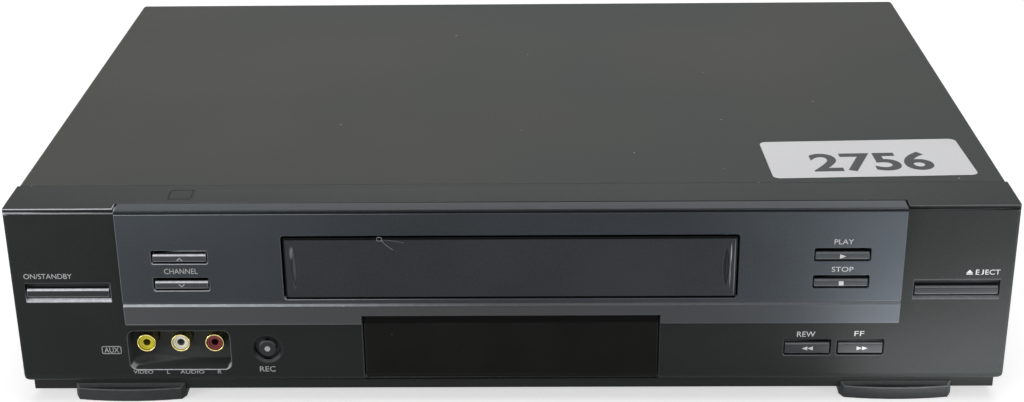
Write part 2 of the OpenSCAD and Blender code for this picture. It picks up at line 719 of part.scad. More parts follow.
module jack_block() {
    back = board_y;
    color("#1c1d1d") place() difference() {
        block([jack_x - recess_w / 2 + 0.75, jack_x + recess_w / 2 - 0.75], [recess_d + 1.8, back],
            [recess_z - recess_h / 2 + 1.4, recess_z + recess_h / 2 - 1.4]);
        for (i = [-1:1]) bar_y(jack_x + i * jack_pitch, jack_z, root_r, [0, recess_d + 5]);
    }
}

// Gold sleeve of a phono jack: the length that a plug goes over, then a thinner root in the block
module sleeve(mouth, shoulder, root) {
    rotate([-90, 0, 0]) translate([0, 0, mouth]) rotate_extrude() polygon([[sleeve_bore_r, 0.3],
        [sleeve_bore_r + 0.2, 0], [sleeve_r - 0.2, 0], [sleeve_r, 0.3], [sleeve_r, shoulder - mouth],
        [root_r, shoulder - mouth], [root_r, root - mouth], [sleeve_bore_r, root - mouth]]);
}

// Moulded insert inside a sleeve, with the hole for the plug's pin
module insert(mouth, root) {
    rotate([-90, 0, 0]) translate([0, 0, mouth]) difference() {
        rotate_extrude() polygon([[0, 1], [2.2, 1], [2.6, 0.5], [3.2, 0.5], [sleeve_bore_r - fit, 0.8],
            [sleeve_bore_r - fit, root - mouth], [0, root - mouth]]);
        translate([0, 0, -1]) cylinder(r = contact_r, h = root - mouth - 1);
    }
}

module jack_sleeves() {
    color("#c9a24a") place() for (i = [-1:1]) translate([jack_x + i * jack_pitch, 0, jack_z])
        sleeve(recess_d - sleeve_l, recess_d - 0.2, recess_d + 5);
}

module jack_insert(i, tint) {
    color(tint) place() translate([jack_x + i * jack_pitch, 0, jack_z])
        insert(recess_d - sleeve_l, recess_d + 5);
}

module video_jack_insert() { jack_insert(-1, "#d9c400"); }
module left_jack_insert() { jack_insert(0, "#e8e6dd"); }
module right_jack_insert() { jack_insert(1, "#c0301f"); }

// ---- rear sockets ----
module scart_socket(x) {
    color("#1a1a1a") place() difference() {
        through([panel_y - 14, body_d + 1.5]) translate([x, scart_z]) scart_outline(0);
        through([panel_y - 6, body_d + 3]) translate([x, scart_z]) difference() {
            scart_outline(-1.2);
            scart_outline(-3.4);
        }
        for (row = [-1, 1], i = [-4.5:4.5])
            block([x + i * 3.8 - 0.4, x + i * 3.8 + 0.4], [body_d - 3, body_d + 3],
                [scart_z + row * 2.4 - 1.2, scart_z + row * 2.4 + 1.2]);
    }
}

module tuner_can() {
    half = tuner_w / 2;
    t = 0.8;
    color("#b4b6b4") place() difference() {
        block([tuner_x - half, tuner_x + half], [tuner_y, panel_y - 0.3], [boards_top, tuner_z + 12]);
        block([tuner_x - half + t, tuner_x + half - t], [tuner_y + t, panel_y - 0.3 - t],
            [boards_top - 1, tuner_z + 12 - t]);
    }
}

module aerial_sockets() {
    out = body_d + socket_proud;
    back = panel_y - 0.3;
    left = tuner_x - tuner_pitch / 2;
    right = tuner_x + tuner_pitch / 2;
    color("#c3c5c4") place() {
        difference() {
            union() {
                bar_y(left, tuner_z, aerial_r + 1, [back, out]);
                bar_y(right, tuner_z, aerial_r - 0.3, [back, panel_out + 0.4]);
                bar_y(right, tuner_z, aerial_r, [panel_out + 0.3, out]);
            }
            bar_y(left, tuner_z, aerial_r, [back + 1, out + 1]);
            bar_y(right, tuner_z, aerial_r - 0.6, [back + 1, out + 1]);
        }
        difference() {
            bar_y(left, tuner_z, 2, [back + 1 - eps, out - 1.5], $fn = 24);
            bar_y(left, tuner_z, 1.2, [back + 3, out], $fn = 24);
        }
        bar_y(right, tuner_z, 1.2, [back + 1 - eps, out - 1], $fn = 24);
    }
}

module rear_phono_block() {
    color("#1c1d1d") place() difference() {
        block([rear_jack_x[0] - 8, rear_jack_x[1] + 8], [panel_y - 12, panel_y - 0.2],
            [boards_top, rear_jack_z + 8]);
        for (x = rear_jack_x) bar_y(x, rear_jack_z, root_r, [panel_y - 6, body_d]);
    }
}

module rear_phono_sleeves() {
    mouth = body_d + sleeve_l;
    color("#c9a24a") place() for (x = rear_jack_x) translate([x, 0, rear_jack_z]) mirror([0, 1, 0]) {
        sleeve(-mouth, -body_d, 6 - panel_y);
        insert(-mouth, 6 - panel_y);
    }
}

module mains_inlet() {
    out = body_d + 1;
    color("#161616") place() difference() {
        union() {
            through([panel_y - mains_d, out]) translate([mains_x, mains_z]) soft_rect(mains_w, mains_h, 1);
            block([mains_x - mains_w / 2 - 2, mains_x + mains_w / 2 + 2], [panel_y - 2.5, panel_y - 0.3],
                [boards_top, mains_z + mains_h / 2 + 2]);
        }
        difference() {
            union() {
                for (i = [-1, 1]) bar_y(mains_x + i * mains_pitch / 2, mains_z, 3.5, [out - 13, out + 1]);
                block([mains_x - mains_pitch / 2, mains_x + mains_pitch / 2], [out - 13, out + 1],
                    [mains_z - 3.5, mains_z + 3.5]);
            }
            for (i = [-1, 1])
                bar_y(mains_x + i * mains_pitch / 2, mains_z, mains_pin_r, [out - 14, out - 3]);
        }
    }
}

// ---- boards ----
module main_board() {
    front = bezel_d + 10;
    behind = deck_y + deck_d + 4;
    color("#2f6a3d") place() translate([0, 0, boards_z]) linear_extrude(board_t) polygon([
        [-board_edge, front], [-side_board_x, front], [-side_board_x, behind], [side_board_x - 8, behind],
        [side_board_x - 8, boards_back], [-board_edge, boards_back]]);
}

module power_board() {
    color("#a9793c") place()
        block([side_board_x, board_edge], [bezel_d + 10, boards_back], [boards_z, boards_top]);
}

module can(x, y, r, h) {
    translate([x, y, boards_top]) rotate_extrude($fn = 32) polygon([[0, 0], [r, 0], [r, 1],
        [r - 0.4, 1.4], [r - 0.4, 2], [r, 2.4], [r, h - 0.6], [r - 0.6, h], [r - 1.2, h],
        [r - 1.5, h - 0.4], [0, h - 0.4]]);
}

module capacitors() {
    span = board_edge - side_board_x; // width of the board at each side
    color("#26303f") place() {
        can(side_board_x + main_can_r + 4.5, core_y, main_can_r, main_can_h);
        for (i = [0:3]) can(side_board_x + span * (0.2 + 0.18 * i), bezel_d + 44.5, 6.5, 22);
        for (i = [0:5]) can(-side_board_x - span * (0.22 + 0.13 * i), tuner_y - 14, 4, 12);
        for (i = [0:4]) can(-side_board_x - span * (0.18 + 0.16 * i), bezel_d + 34.5, 5, 14);
        for (i = [0:3]) can(side_board_x - 48 + 10 * i, boards_back - 14, 4, 12);
    }
}

module shield_can() {
    x0 = 12 - board_edge;
    x1 = -side_board_x - 16;
    y0 = bezel_d + 64.5;
    y1 = tuner_y - 58;
    t = 0.8;
    color("#b4b6b4") place() difference() {
        block([x0, x1], [y0, y1], [boards_top, boards_top + shield_h]);
        block([x0 + t, x1 - t], [y0 + t, y1 - t], [boards_top - 1, boards_top + shield_h - t]);
        for (i = [0:4], j = [0:4])
            translate([x0 + (x1 - x0) * (0.1 + 0.2 * i), y0 + (y1 - y0) * (0.1 + 0.2 * j), boards_top + 10])
                cylinder(r = 3, h = shield_h, $fn = 24);
    }
}

module power_transformer() {
    x = board_edge - core_w / 2 - 7;
    half = core_w / 2;
    top = boards_top + transformer_h;
    color("#5a4a2c") place() difference() {
        union() {
            block([x - half, x + half], [core_y - 20, core_y + 20], [boards_top + 6, top - 4]);
            block([x - half + 5, x + half - 5], [core_y - 26, core_y + 26], [boards_top, top - 6]);
            for (dx = [8 - half, half - 8])
                block([x + dx - 3, x + dx + 3], [core_y - 18, core_y + 18], [boards_top, top]);
        }
        for (dx = [2 - half, half - 2])
            block([x + dx - 1, x + dx + 1], [core_y - 6, core_y + 6], [boards_top, top + 20]);
    }
}

module heat_sink() {
    x = side_board_x + 18;
    y = core_y + main_can_r + 15;
    top = boards_top + sink_h;
    pitch = (sink_l - 3.6) / 8;
    color("#9a9c9c") place() {
        block([x, x + 2.5], [y, y + sink_l], [boards_top, top]);
        for (i = [0:8])
            block([x + 2.5 - eps, x + 14], [y + 1 + pitch * i, y + 2.6 + pitch * i], [boards_top + 6, top]);
    }
}

// ---- deck ----
module deck_plate() {
    half = deck_w / 2;
    color("#a8abac") place() difference() {
        union() {
            translate([0, deck_y + deck_d / 2, deck_z]) linear_extrude(deck_t) soft_rect(deck_w, deck_d, 5);
            for (side = [-1, 1]) block(on_side(side, half - 1.5, half), [deck_y + 30, deck_y + deck_d - 20],
                [deck_z - 5, deck_z + eps]);
        }
        translate([capstan_x, capstan_y, deck_z - 1]) cylinder(r = 5.2, h = deck_t + 2);
        for (side = [-1, 1])
            translate([side * reel_x, reel_y, deck_z - 1]) cylinder(r = 2.05, h = deck_t + 2);
        translate([arm_pivot[0], arm_pivot[1], deck_z - 1]) cylinder(r = 2, h = deck_t + 2);
        translate([tension_pivot[0], tension_pivot[1], deck_z - 1]) cylinder(r = 2, h = deck_t + 2);
        for (x = [-30, 30])
            translate([x, deck_y + 40, deck_z - 1]) linear_extrude(deck_t + 2) soft_rect(34, 26, 4);
    }
}

module on_drum() { translate([drum_x, drum_y, drum_z]) rotate([drum_tilt, 0, 0]) children(); }

module lower_drum() {
    color("#b9bcbd") place() difference() {
        union() {
            on_drum() rotate_extrude($fn = 96) polygon([[0, -1], [drum_r - 4, -1], [drum_r - 2.5, 1],
                [drum_r, 1], [drum_r, drum_low_h], [9, drum_low_h], [9, drum_low_h - 1],
                [0, drum_low_h - 1]]);
            translate([drum_x, drum_y, deck_top]) cylinder(r = drum_r - 6, h = 6);
        }
        on_drum() cylinder(r = 3 + fit, h = drum_low_h + 1);
    }
}

module upper_drum() {
    z0 = drum_low_h + gap;
    color("#d3d6d7") place() on_drum() difference() {
        union() {
            rotate_extrude($fn = 96) polygon([[0, z0], [drum_r, z0], [drum_r, z0 + drum_up_h - 0.6],
                [drum_r - 0.6, z0 + drum_up_h], [drum_r - 5, z0 + drum_up_h],
                [drum_r - 6, z0 + drum_up_h - 3], [14, z0 + drum_up_h - 3],
                [13, z0 + drum_up_h + 2], [7, z0 + drum_up_h + 2],
                [6.5, z0 + drum_up_h + 4], [0, z0 + drum_up_h + 4]]);
            translate([0, 0, 6]) cylinder(r = 3, h = z0 - 6 + eps);
        }
        for (a = [0:60:300])
            rotate([0, 0, a]) translate([drum_r - 11.5, 0, z0 + 5]) cylinder(r = 2.6, h = drum_up_h);
        for (a = [30, 210]) rotate([0, 0, a]) translate([drum_r - 1, 0, z0 + 0.6])
            cube([4, 2.4, 1.6], center = true);
    }
}

module capstan_motor() {
    z0 = deck_z - 3.5;
    color("#2f5a3a") place() translate([capstan_x, capstan_y, 0]) difference() {
        union() {
            translate([0, 4, z0]) linear_extrude(1.6) soft_rect(56, 62, 6);
            translate([0, 0, z0]) cylinder(r = 5, h = deck_top + 5 - z0);
            for (a = [45:90:315]) rotate([0, 0, a]) translate([31, 0, z0 + 1.6 - eps])
                cylinder(r = 2.5, h = deck_z - z0 - 1.6 + eps, $fn = 24);
        }
        translate([0, 0, z0 - 1]) cylinder(r = capstan_r + fit, h = 40);
    }
}

module capstan_rotor() {
    top = deck_z - 3.5 - gap;
    color("#8f9293") place() translate([capstan_x, capstan_y, 0]) {
        rotate_extrude($fn = 72) polygon([[0, top - 8], [rotor_r - 1, top - 8], [rotor_r, top - 7],
            [rotor_r, top], [rotor_r - 2.5, top], [rotor_r - 2.5, top - 5], [6, top - 5], [6, top],
            [0, top]]);
        translate([0, 0, top - eps]) cylinder(r = capstan_r, h = 32);
    }
}

// Roller post with a flange at its foot and at its head
module guide_post(x, y, r, h) {
    translate([x, y, deck_top]) rotate_extrude($fn = 32) polygon([[0, 0], [r + 1.5, 0], [r + 1.5, 6],
        [r, 6.6], [r, h - 3], [r + 1, h - 2.6], [r + 1, h - 1], [1.2, h - 0.6], [1.2, h], [0, h]]);
}

function guide_places() = [for (p = [[-54, 20], [-40, 27], [-29, 2], [30, 0], [52, 26]])
    [drum_x + p[0], capstan_y + p[1]]];

module tape_guides() { color("#c7cacb") place() for (g = guide_places()) guide_post(g[0], g[1], 2.5, 27); }

module erase_head() {
    color("#8f9293") place() translate([-50, capstan_y + 4, deck_top]) {
        cylinder(r = 4, h = 5, $fn = 32);
        difference() {
            block([-5, 5], [-5, 5], [5 - eps, 22]);
            block([-2, 2], [-6, -4], [7, 20]);
        }
    }
}

module audio_head() {
    x = capstan_x - 18;
    color("#8f9293") place() {
        block([x - 9, x + 5], [capstan_y + 4, capstan_y + 18], [deck_top, deck_top + 3]);
        translate([x - 2, capstan_y + 12, deck_top + 3 - eps]) cylinder(r = 2.4, h = 3, $fn = 32);
        intersection() {
            block([x - 8, x + 4], [capstan_y + 2, capstan_y + 16], [deck_top + 6 - 2 * eps, deck_top + 25]);
            translate([x - 2, capstan_y + 14, deck_top]) cylinder(r = 11, h = 40, $fn = 64);
        }
    }
}

// Two upright sides that the sliders run in, tied by a bridge above the holder
module carriage_frame() {
    out = bracket_x + bracket_t;
    color("#aab0b2") place() difference() {
        union() {
            for (side = [-1, 1]) {
                block(on_side(side, bracket_x, out), [bracket_y0, bracket_y1], [deck_top, bracket_top]);
                block(on_side(side, bracket_x, deck_w / 2), [bracket_y0, bracket_y1],
                    [deck_top, deck_top + bracket_t]);
            }
            block([-out, out], [bracket_y1 - 46, bracket_y1 - 20],
                [bracket_top - eps, bracket_top + bracket_t]);
        }
        for (side = [-1, 1]) {
            x = on_side(side, bracket_x - 1, out + 1);
            block(x, [stud_y[0] - stud_r - gap, stud_y[1] + travel_in + stud_r + gap],
                [stud_z - stud_r - gap, stud_z + stud_r + gap]);
            block(x, [bracket_y0 + 18, bracket_y0 + 46], [deck_top + 8, deck_top + 30]);
        }
        bar_x(pinion_y, pinion_z, pinion_shaft_r + fit, [bracket_x - 1, out + 1]);
    }
}

// Low bottom half of a rack tooth's outline, in Y and Z
function rack_tooth(y) = let (half = PI * gear_m / 4 - backlash / 4, t = tan(pressure)) [
    [y - half - dedendum * t, rack_z + dedendum + eps], [y - half + addendum * t, rack_z - addendum],
    [y + half - addendum * t, rack_z - addendum], [y + half + dedendum * t, rack_z + dedendum + eps]];

module lift_slider(side) {
    x = on_side(side, slider_x, slider_x + sheet_t);
    pitch = PI * gear_m;
    fore = floor((pinion_y - slider_y0) / pitch - 0.5);
    aft = floor((slider_y1 - pinion_y) / pitch - 0.5);
    low = carry_pin_z - travel_down - carry_pin_r - gap;
    difference() {
        block(x, [slider_y0, slider_y1], [slider_z0, slider_top]);
        for (y = carry_pin_y) block([x[0] - 1, x[1] + 1], [y - carry_pin_r - gap, y + carry_pin_r + gap],
            [low, carry_pin_z + carry_pin_r + gap]);
    }
    for (y = stud_y)
        bar_x(y, stud_z, stud_r, on_side(side, slider_x + sheet_t - eps, bracket_x + bracket_t), $fn = 24);
    if (side > 0) for (i = [-fore:aft]) across(x) polygon(rack_tooth(pinion_y + (i + 0.5) * pitch));
}

module lift_sliders() {
    color("#c9b98a") place() {
        lift_slider(-1);
        lift_slider(1);
    }
}

// One flank of the pinion is the involute of its base circle, worked out at a few radii
function involute_angle(r) = let (base = pinion_r * cos(pressure), a = acos(min(1, base / r)))
    tan(a) * 180 / PI - a;

function pinion_tooth(mid) = let (
    tip = pinion_r + addendum,
    root = pinion_r - dedendum,
    base = pinion_r * cos(pressure),
    half = 90 / pinion_n - backlash / 4 / pinion_r * 180 / PI,
    at_pitch = involute_angle(pinion_r),
    radii = [for (i = [0:4]) base + (tip - base) * i / 4])
    concat([let (a = mid - half - at_pitch) root * [cos(a), sin(a)]],
        [for (r = radii) let (a = mid - half - at_pitch + involute_angle(r)) r * [cos(a), sin(a)]],
        [for (i = [4:-1:0]) let (r = radii[i], a = mid + half + at_pitch - involute_angle(r))
            r * [cos(a), sin(a)]],
        [let (a = mid + half + at_pitch) root * [cos(a), sin(a)]]);

// Belt pulley on the X axis, with a groove whose floor lies groove_in below its rim
module pulley(y, r) {
    translate([pulley_x, y, pinion_z]) rotate([0, 90, 0]) rotate_extrude()
        polygon([[0, -pulley_half], [r, -pulley_half], [r, -1.6], [r - groove_in, -0.6],
            [r - groove_in, 0.6], [r, 1.6], [r, pulley_half], [0, pulley_half]]);
}

module lift_pinion() {
    color("#e0ddcf") place() {
        translate([slider_x, pinion_y, pinion_z]) rotate([0, 90, 0]) linear_extrude(sheet_t + 0.2)
            rotate([0, 0, 180])
                polygon([for (i = [0:pinion_n - 1]) for (p = pinion_tooth(360 * i / pinion_n)) p]);
        bar_x(pinion_y, pinion_z, pinion_shaft_r, [slider_x, pulley_x + pulley_half + 0.3]);
        pulley(pinion_y, pulley_r);
    }
}

// Motor on an upright plate at the deck's edge, with its pulley in the belt's lane
module loading_motor() {
    plate = deck_w / 2 + gap;
    color("#9b9e9f") place() {
        pulley(motor_y, motor_pulley_r);
        bar_x(motor_y, pinion_z, 1, [pulley_x, plate + 3], $fn = 24);
        intersection() {
            bar_x(motor_y, pinion_z, motor_r, [plate, plate + motor_l]);
            block([0, half_w], [0, body_d], [pinion_z - motor_r + 2, pinion_z + motor_r - 2]);
        }
        bar_x(motor_y, pinion_z, 3, [plate, plate + motor_l + 2]);
        block([plate, plate + 1.5], [motor_y - motor_r - 1.5, motor_y + motor_r + 1.5],
            [deck_z - 5, pinion_z + motor_r - 0.5]);
    }
}

// Belt round both pulleys: two arcs joined by their common tangents
module drive_belt() {
    big = pulley_r - groove_in + fit;
    small = motor_pulley_r - groove_in + fit;
    reach = motor_y - pinion_y;
    lean = asin((big - small) / reach);
    function loop(grow) = concat(arc([0, 0], big + grow, 90 - lean, 270 + lean, 16),
        arc([reach, 0], small + grow, lean - 90, 90 - lean, 10));
    color("#161616") place() translate([0, pinion_y, pinion_z]) across([pulley_x - 0.5, pulley_x + 0.5])
        difference() {
            polygon(loop(belt_w));
            polygon(loop(0));
        }
}

// ---- pieces that move ----
module cassette_door() {
    lens_r = (pow(scoop_h / 2, 2) + pow(1.5, 2)) / 3;
    color("#363a3c") place() {
        difference() {
            through([fascia_y, fascia_y + door_t]) translate([0, door_z + door_h / 2])
                soft_rect(door_w, door_h, 0.8);
            for (side = [-1, 1]) translate([side * (door_half - 4.5), 0, door_z + door_h / 2])
                through([fascia_y - 1, fascia_y + 0.6]) intersection() {
                    translate([lens_r - 1.5, 0]) circle(r = lens_r, $fn = 96);
                    translate([1.5 - lens_r, 0]) circle(r = lens_r, $fn = 96);
                }
        }
        for (side = [-1, 1]) bar_x(door_axis_y, door_axis_z, door_pin_r,
            on_side(side, door_half - 1, door_half + door_gap + pivot_l - 0.2), $fn = 24);
    }
}

// Moulded button: a cap with a bevel along its top, a flange behind the wall and a stem to its switch
module key(x, z, w, h, face) {
    ledge = key_gap + 0.8;
    flange_y = wall + gap;
    top = z + h / 2 - key_drop;
    across([x - w / 2, x + w / 2]) polygon([[face + key_bevel, top],
        [face + key_bevel * 0.3, top - key_bevel * 0.35], [face, top - key_bevel], [face, z - h / 2 + 0.5],
        [face + 0.5, z - h / 2], [flange_y + 1, z - h / 2], [flange_y + 1, top]]);
    block([x - w / 2 - ledge, x + w / 2 + ledge], [flange_y, flange_y + 1.2],
        [z - h / 2 - ledge, z + h / 2 + ledge]);
    block([x - 3, x + 3], [flange_y + 1.2 - eps, stem_y], [z - 1.6, z + 1.6]);
    for (dx = [-w / 4, w / 4]) block([x + dx - 0.5, x + dx + 0.5], [flange_y + 1.2 - eps, flange_y + 3],
        [z - h / 2, z + h / 2]);
}

module side_key(x, z) {
    color("#2c2f31") place() key(x, z, side_key_w - 2 * key_gap, side_key_h - 2 * key_gap, fascia_y + 0.3);
}
module wing_key(x) {
    color("#2a2c2b") place() key(x, wing_key_z, wing_key_w - 2 * key_gap, wing_hole_h - 2 * key_gap, 0.2);
}
module wind_key(x) {
    color("#2a2c2b") place() key(x, wind_key_z, wind_key_w - 2 * key_gap, wind_key_h - 2 * key_gap, 0.2);
}

module power_button() { wing_key(-wing_key_x); }
module eject_button() { wing_key(wing_key_x); }
module channel_up_button() { side_key(-side_key_x, upper_key_z); }
module channel_down_button() { side_key(-side_key_x, lower_key_z); }
module play_button() { side_key(side_key_x, upper_key_z); }
module stop_button() { side_key(side_key_x, lower_key_z); }
module rewind_button() { wind_key(rewind_x); }
module fast_forward_button() { wind_key(forward_x); }

module record_button() {
    flange_y = wall + gap;
    color("#2a2c2b") place() translate([record_x, 0, wind_key_z]) rotate([-90, 0, 0]) rotate_extrude()
        polygon([[0, 0.2], [record_r - 0.7, 0], [record_r - 0.2, 0.25], [record_r, 0.8],
            [record_r, flange_y], [record_hole_r + 0.9, flange_y],
            [record_hole_r + 0.9, flange_y + 1.2], [2, flange_y + 1.2],
            [2, stem_y], [0, stem_y]]);
}

// Folded basket: a front strip with three tongues, two sides and top flanges tied at the front
module cassette_holder() {
    half = holder_half;
    inner = holder_in_w / 2;
    y = [holder_y, holder_y + holder_d];
    strip = 15;
    slot0 = reel_x - reel_r - 5;
    slot1 = reel_x + reel_r + 5;
    color("#b9bcbd") place() {
        difference() {
            block([-half, half], y, [holder_z, holder_top]);
            block([-inner, inner], [y[0] - 1, y[1] + 1], [holder_z + sheet_t, holder_top - sheet_t]);
            block([18 - inner, inner - 18], [y[0] + 12, y[1] + 1], [holder_z + sheet_t, holder_top + 1]);
            for (side = [-1, 1]) block(on_side(side, slot0, slot1), [y[0] + strip, y[1] + 1],
                [holder_z - 1, holder_z + sheet_t + 1]);
        }
        for (side = [-1, 1], py = carry_pin_y)
            bar_x(py, carry_pin_z, carry_pin_r, on_side(side, half - 1, slider_x + sheet_t), $fn = 24);
    }
}

// Reel table: a toothed rim, a disc and a three-winged spindle
module reel(x) {
    z0 = deck_top + 0.4;
    color("#3b3d3e") place() translate([x, reel_y, 0]) {
        difference() {
            rotate_extrude($fn = 64) polygon([[0, z0], [reel_r, z0], [reel_r, z0 + 2.4],
                [reel_r - 1.5, z0 + 3], [spindle_r + 3, z0 + 3], [spindle_r, z0 + 5], [spindle_r, z0 + 12],
                [spindle_r - 2.5, z0 + 15], [0, z0 + 15]]);
            for (i = [0:35])
                rotate([0, 0, 10 * i]) translate([reel_r, 0, z0 - 1]) cube([1.6, 1.2, 8], center = true);
        }
        for (a = [0:120:240])
            rotate([0, 0, a]) translate([spindle_r - 1, -0.7, z0 + 4]) cube([2.4, 1.4, 8.5]);
        translate([0, 0, deck_z - 2]) cylinder(r = 2, h = z0 - deck_z + 2 + eps, $fn = 32);
    }
}
module supply_reel() { reel(-reel_x); }
module takeup_reel() { reel(reel_x); }

// Flat arm between two round ends
module arm(a, b, r, z, t) {
    translate([0, 0, z]) linear_extrude(t) {
        translate(a) circle(r = r, $fn = 32);
        translate(b) circle(r = r, $fn = 32);
        polygon([let (d = b - a, n = r * [-d[1], d[0]] / norm(d))
            for (p = [a + n, b + n, b - n, a - n]) p]);
    }
}

module pinch_arm() {
    color("#7d8081") place() {
        arm(arm_pivot, roller_at, 4, roller_z - 2.4, 1.8);
        translate([arm_pivot[0], arm_pivot[1], deck_top + 0.3])
            cylinder(r = 3.4, h = roller_z - deck_top - 1);
        translate([arm_pivot[0], arm_pivot[1], deck_z - 1]) cylinder(r = 2 - fit, h = 3, $fn = 32);
        translate([roller_at[0], roller_at[1], roller_z - 1]) cylinder(r = 1.5, h = 18, $fn = 32);
    }
}

module pinch_roller() {
    color("#232425") place() translate([roller_at[0], roller_at[1], 0]) difference() {
        translate([0, 0, roller_z]) cylinder(r = pinch_r, h = 14);
        translate([0, 0, roller_z - 1]) cylinder(r = 1.5 + fit, h = 20, $fn = 32);
    }
}

module tension_arm() {
    color("#c7cacb") place() {
        arm(tension_pivot, tension_tip, 3, deck_top + 1.2, 1.4);
        translate([tension_pivot[0], tension_pivot[1], deck_top + 0.3]) cylinder(r = 3, h = 6);
        translate([tension_pivot[0], tension_pivot[1], deck_z - 1]) cylinder(r = 2 - fit, h = 3, $fn = 32);
        translate([tension_tip[0], tension_tip[1], deck_top + 2]) cylinder(r = 2, h = 22, $fn = 32);
    }
}

bottom_pan();
top_cover();
front_bezel();
centre_fascia();
display_window();
front_feet();
rear_feet();
rear_panel();
case_screws();
front_board();
tact_switches();
display_tube();
jack_block();
jack_sleeves();
video_jack_insert();
left_jack_insert();
right_jack_insert();
scart_socket(scart_x[0]);  // scart_socket_in
scart_socket(scart_x[1]);  // scart_socket_out
tuner_can();
aerial_sockets();
rear_phono_block();
rear_phono_sleeves();
mains_inlet();
main_board();
capacitors();
shield_can();
power_board();
power_transformer();
heat_sink();
deck_plate();
lower_drum();
capstan_motor();
tape_guides();
erase_head();
audio_head();
carriage_frame();
loading_motor();
drive_belt();
cassette_door();
power_button();
eject_button();
channel_up_button();
channel_down_button();
play_button();
stop_button();
rewind_button();
fast_forward_button();
record_button();
cassette_holder();
lift_sliders();
lift_pinion();
supply_reel();
takeup_reel();
upper_drum();
capstan_rotor();
pinch_arm();
pinch_roller();
tension_arm();
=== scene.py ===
"""Video cassette recorder: finishes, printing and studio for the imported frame."""

from __future__ import annotations

import json
import logging
import math
from collections.abc import Callable, Mapping, Sequence
from dataclasses import dataclass
from enum import Enum
from typing import Any

import bmesh
import bpy
import numpy as np
from mathutils import Matrix, Vector

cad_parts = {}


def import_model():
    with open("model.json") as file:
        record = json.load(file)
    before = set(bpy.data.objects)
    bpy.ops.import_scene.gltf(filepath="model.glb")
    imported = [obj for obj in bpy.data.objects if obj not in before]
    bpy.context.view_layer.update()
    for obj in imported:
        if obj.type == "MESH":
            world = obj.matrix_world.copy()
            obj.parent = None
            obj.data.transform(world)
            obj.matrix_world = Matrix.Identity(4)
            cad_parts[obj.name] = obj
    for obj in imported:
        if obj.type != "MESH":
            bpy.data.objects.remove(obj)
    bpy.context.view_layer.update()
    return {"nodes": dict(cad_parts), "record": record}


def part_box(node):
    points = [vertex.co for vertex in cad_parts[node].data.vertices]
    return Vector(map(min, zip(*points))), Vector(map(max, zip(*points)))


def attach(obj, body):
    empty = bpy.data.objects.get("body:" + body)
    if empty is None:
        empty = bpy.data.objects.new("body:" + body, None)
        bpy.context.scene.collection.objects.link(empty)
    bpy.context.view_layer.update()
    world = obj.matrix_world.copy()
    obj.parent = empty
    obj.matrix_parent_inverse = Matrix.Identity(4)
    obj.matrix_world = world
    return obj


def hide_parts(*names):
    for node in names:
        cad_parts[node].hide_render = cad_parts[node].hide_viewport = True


LOG = logging.getLogger("recorder")
Array = np.ndarray
Pair = tuple[float, float]
Triple = tuple[float, float, float]
Colour = Triple
MM = 0.001
PRINT_SLOT = "white_plastic"

# How far the painted shade in the front's gaps reaches, and the heights of the groove along its top, in
# metres.
FRONT_HALF, FRONT_FOOT, FRONT_TOP = 214.5 * MM, 16.8 * MM, 92.5 * MM
GROOVE_LOW, GROOVE_HIGH = 93.8 * MM, 94.88 * MM

# Upward facings at which a face starts and ends to count as sloping, then as level.
SLOPE, SLOPED, FLATTISH, FLAT = 0.22, 0.5, 0.9, 0.985

DUST = (168, 164, 156)
# Painted shade of the groove round the bezel's tab.
GROOVE_SHADE = (16, 17, 18)
BARE_STEEL = (188, 190, 190)
# Painted highlight and painted shade at the door's scoops.
HIGHLIGHT_TONE, SHADOW = (176, 180, 184), (14, 15, 16)
# Painted shade in the gap round the door.
GAP_SHADE = (6, 7, 8)
# Painted shade in the jacks' pin holes.
PIN_HOLE_SHADE = (6, 6, 6)
# Painted shadow along the window's top.
WINDOW_TOP_SHADE = (3, 3, 3)


# ---------------------------------------------------------------- colours
def linear(colour: Colour) -> tuple[float, float, float, float]:
    """Turns a colour read on a screen, 0 to 255, into the linear values a shader takes.

    Args:
        colour: Red, green and blue as a screen shows them.

    Returns:
        Linear red, green and blue with full alpha, by the sRGB curve.
    """
    share = np.asarray(colour, float) / 255.0
    curve = np.where(share <= 0.04045, share / 12.92, ((share + 0.055) / 1.055) ** 2.4)
    return (*(float(value) for value in curve), 1.0)


def shade(colour: Colour, by: float) -> Colour:
    """Lightens or darkens a screen colour by a factor, and keeps it within 0 to 255."""
    return tuple(float(min(255.0, max(0.0, part * by))) for part in colour)  # type: ignore[return-value]


# ---------------------------------------------------------------- shader maths
def math_node(operation: str, behind: bool = False) -> Callable[..., Sock]:
    """Makes the method of Sock that adds one kind of Math node.

    Args:
        operation: Blender's name for the operation.
        behind: Whether the other value comes first, as in a reflected operator.

    Returns:
        The method, which takes the operation's other value if it has one.
    """

    def method(self: Sock, *other: Any) -> Sock:
        """Adds the node and gives its result."""
        values = (*other, self) if behind else (self, *other)
        return self.net.add("ShaderNodeMath", {"operation": operation}, dict(enumerate(values)))

    return method


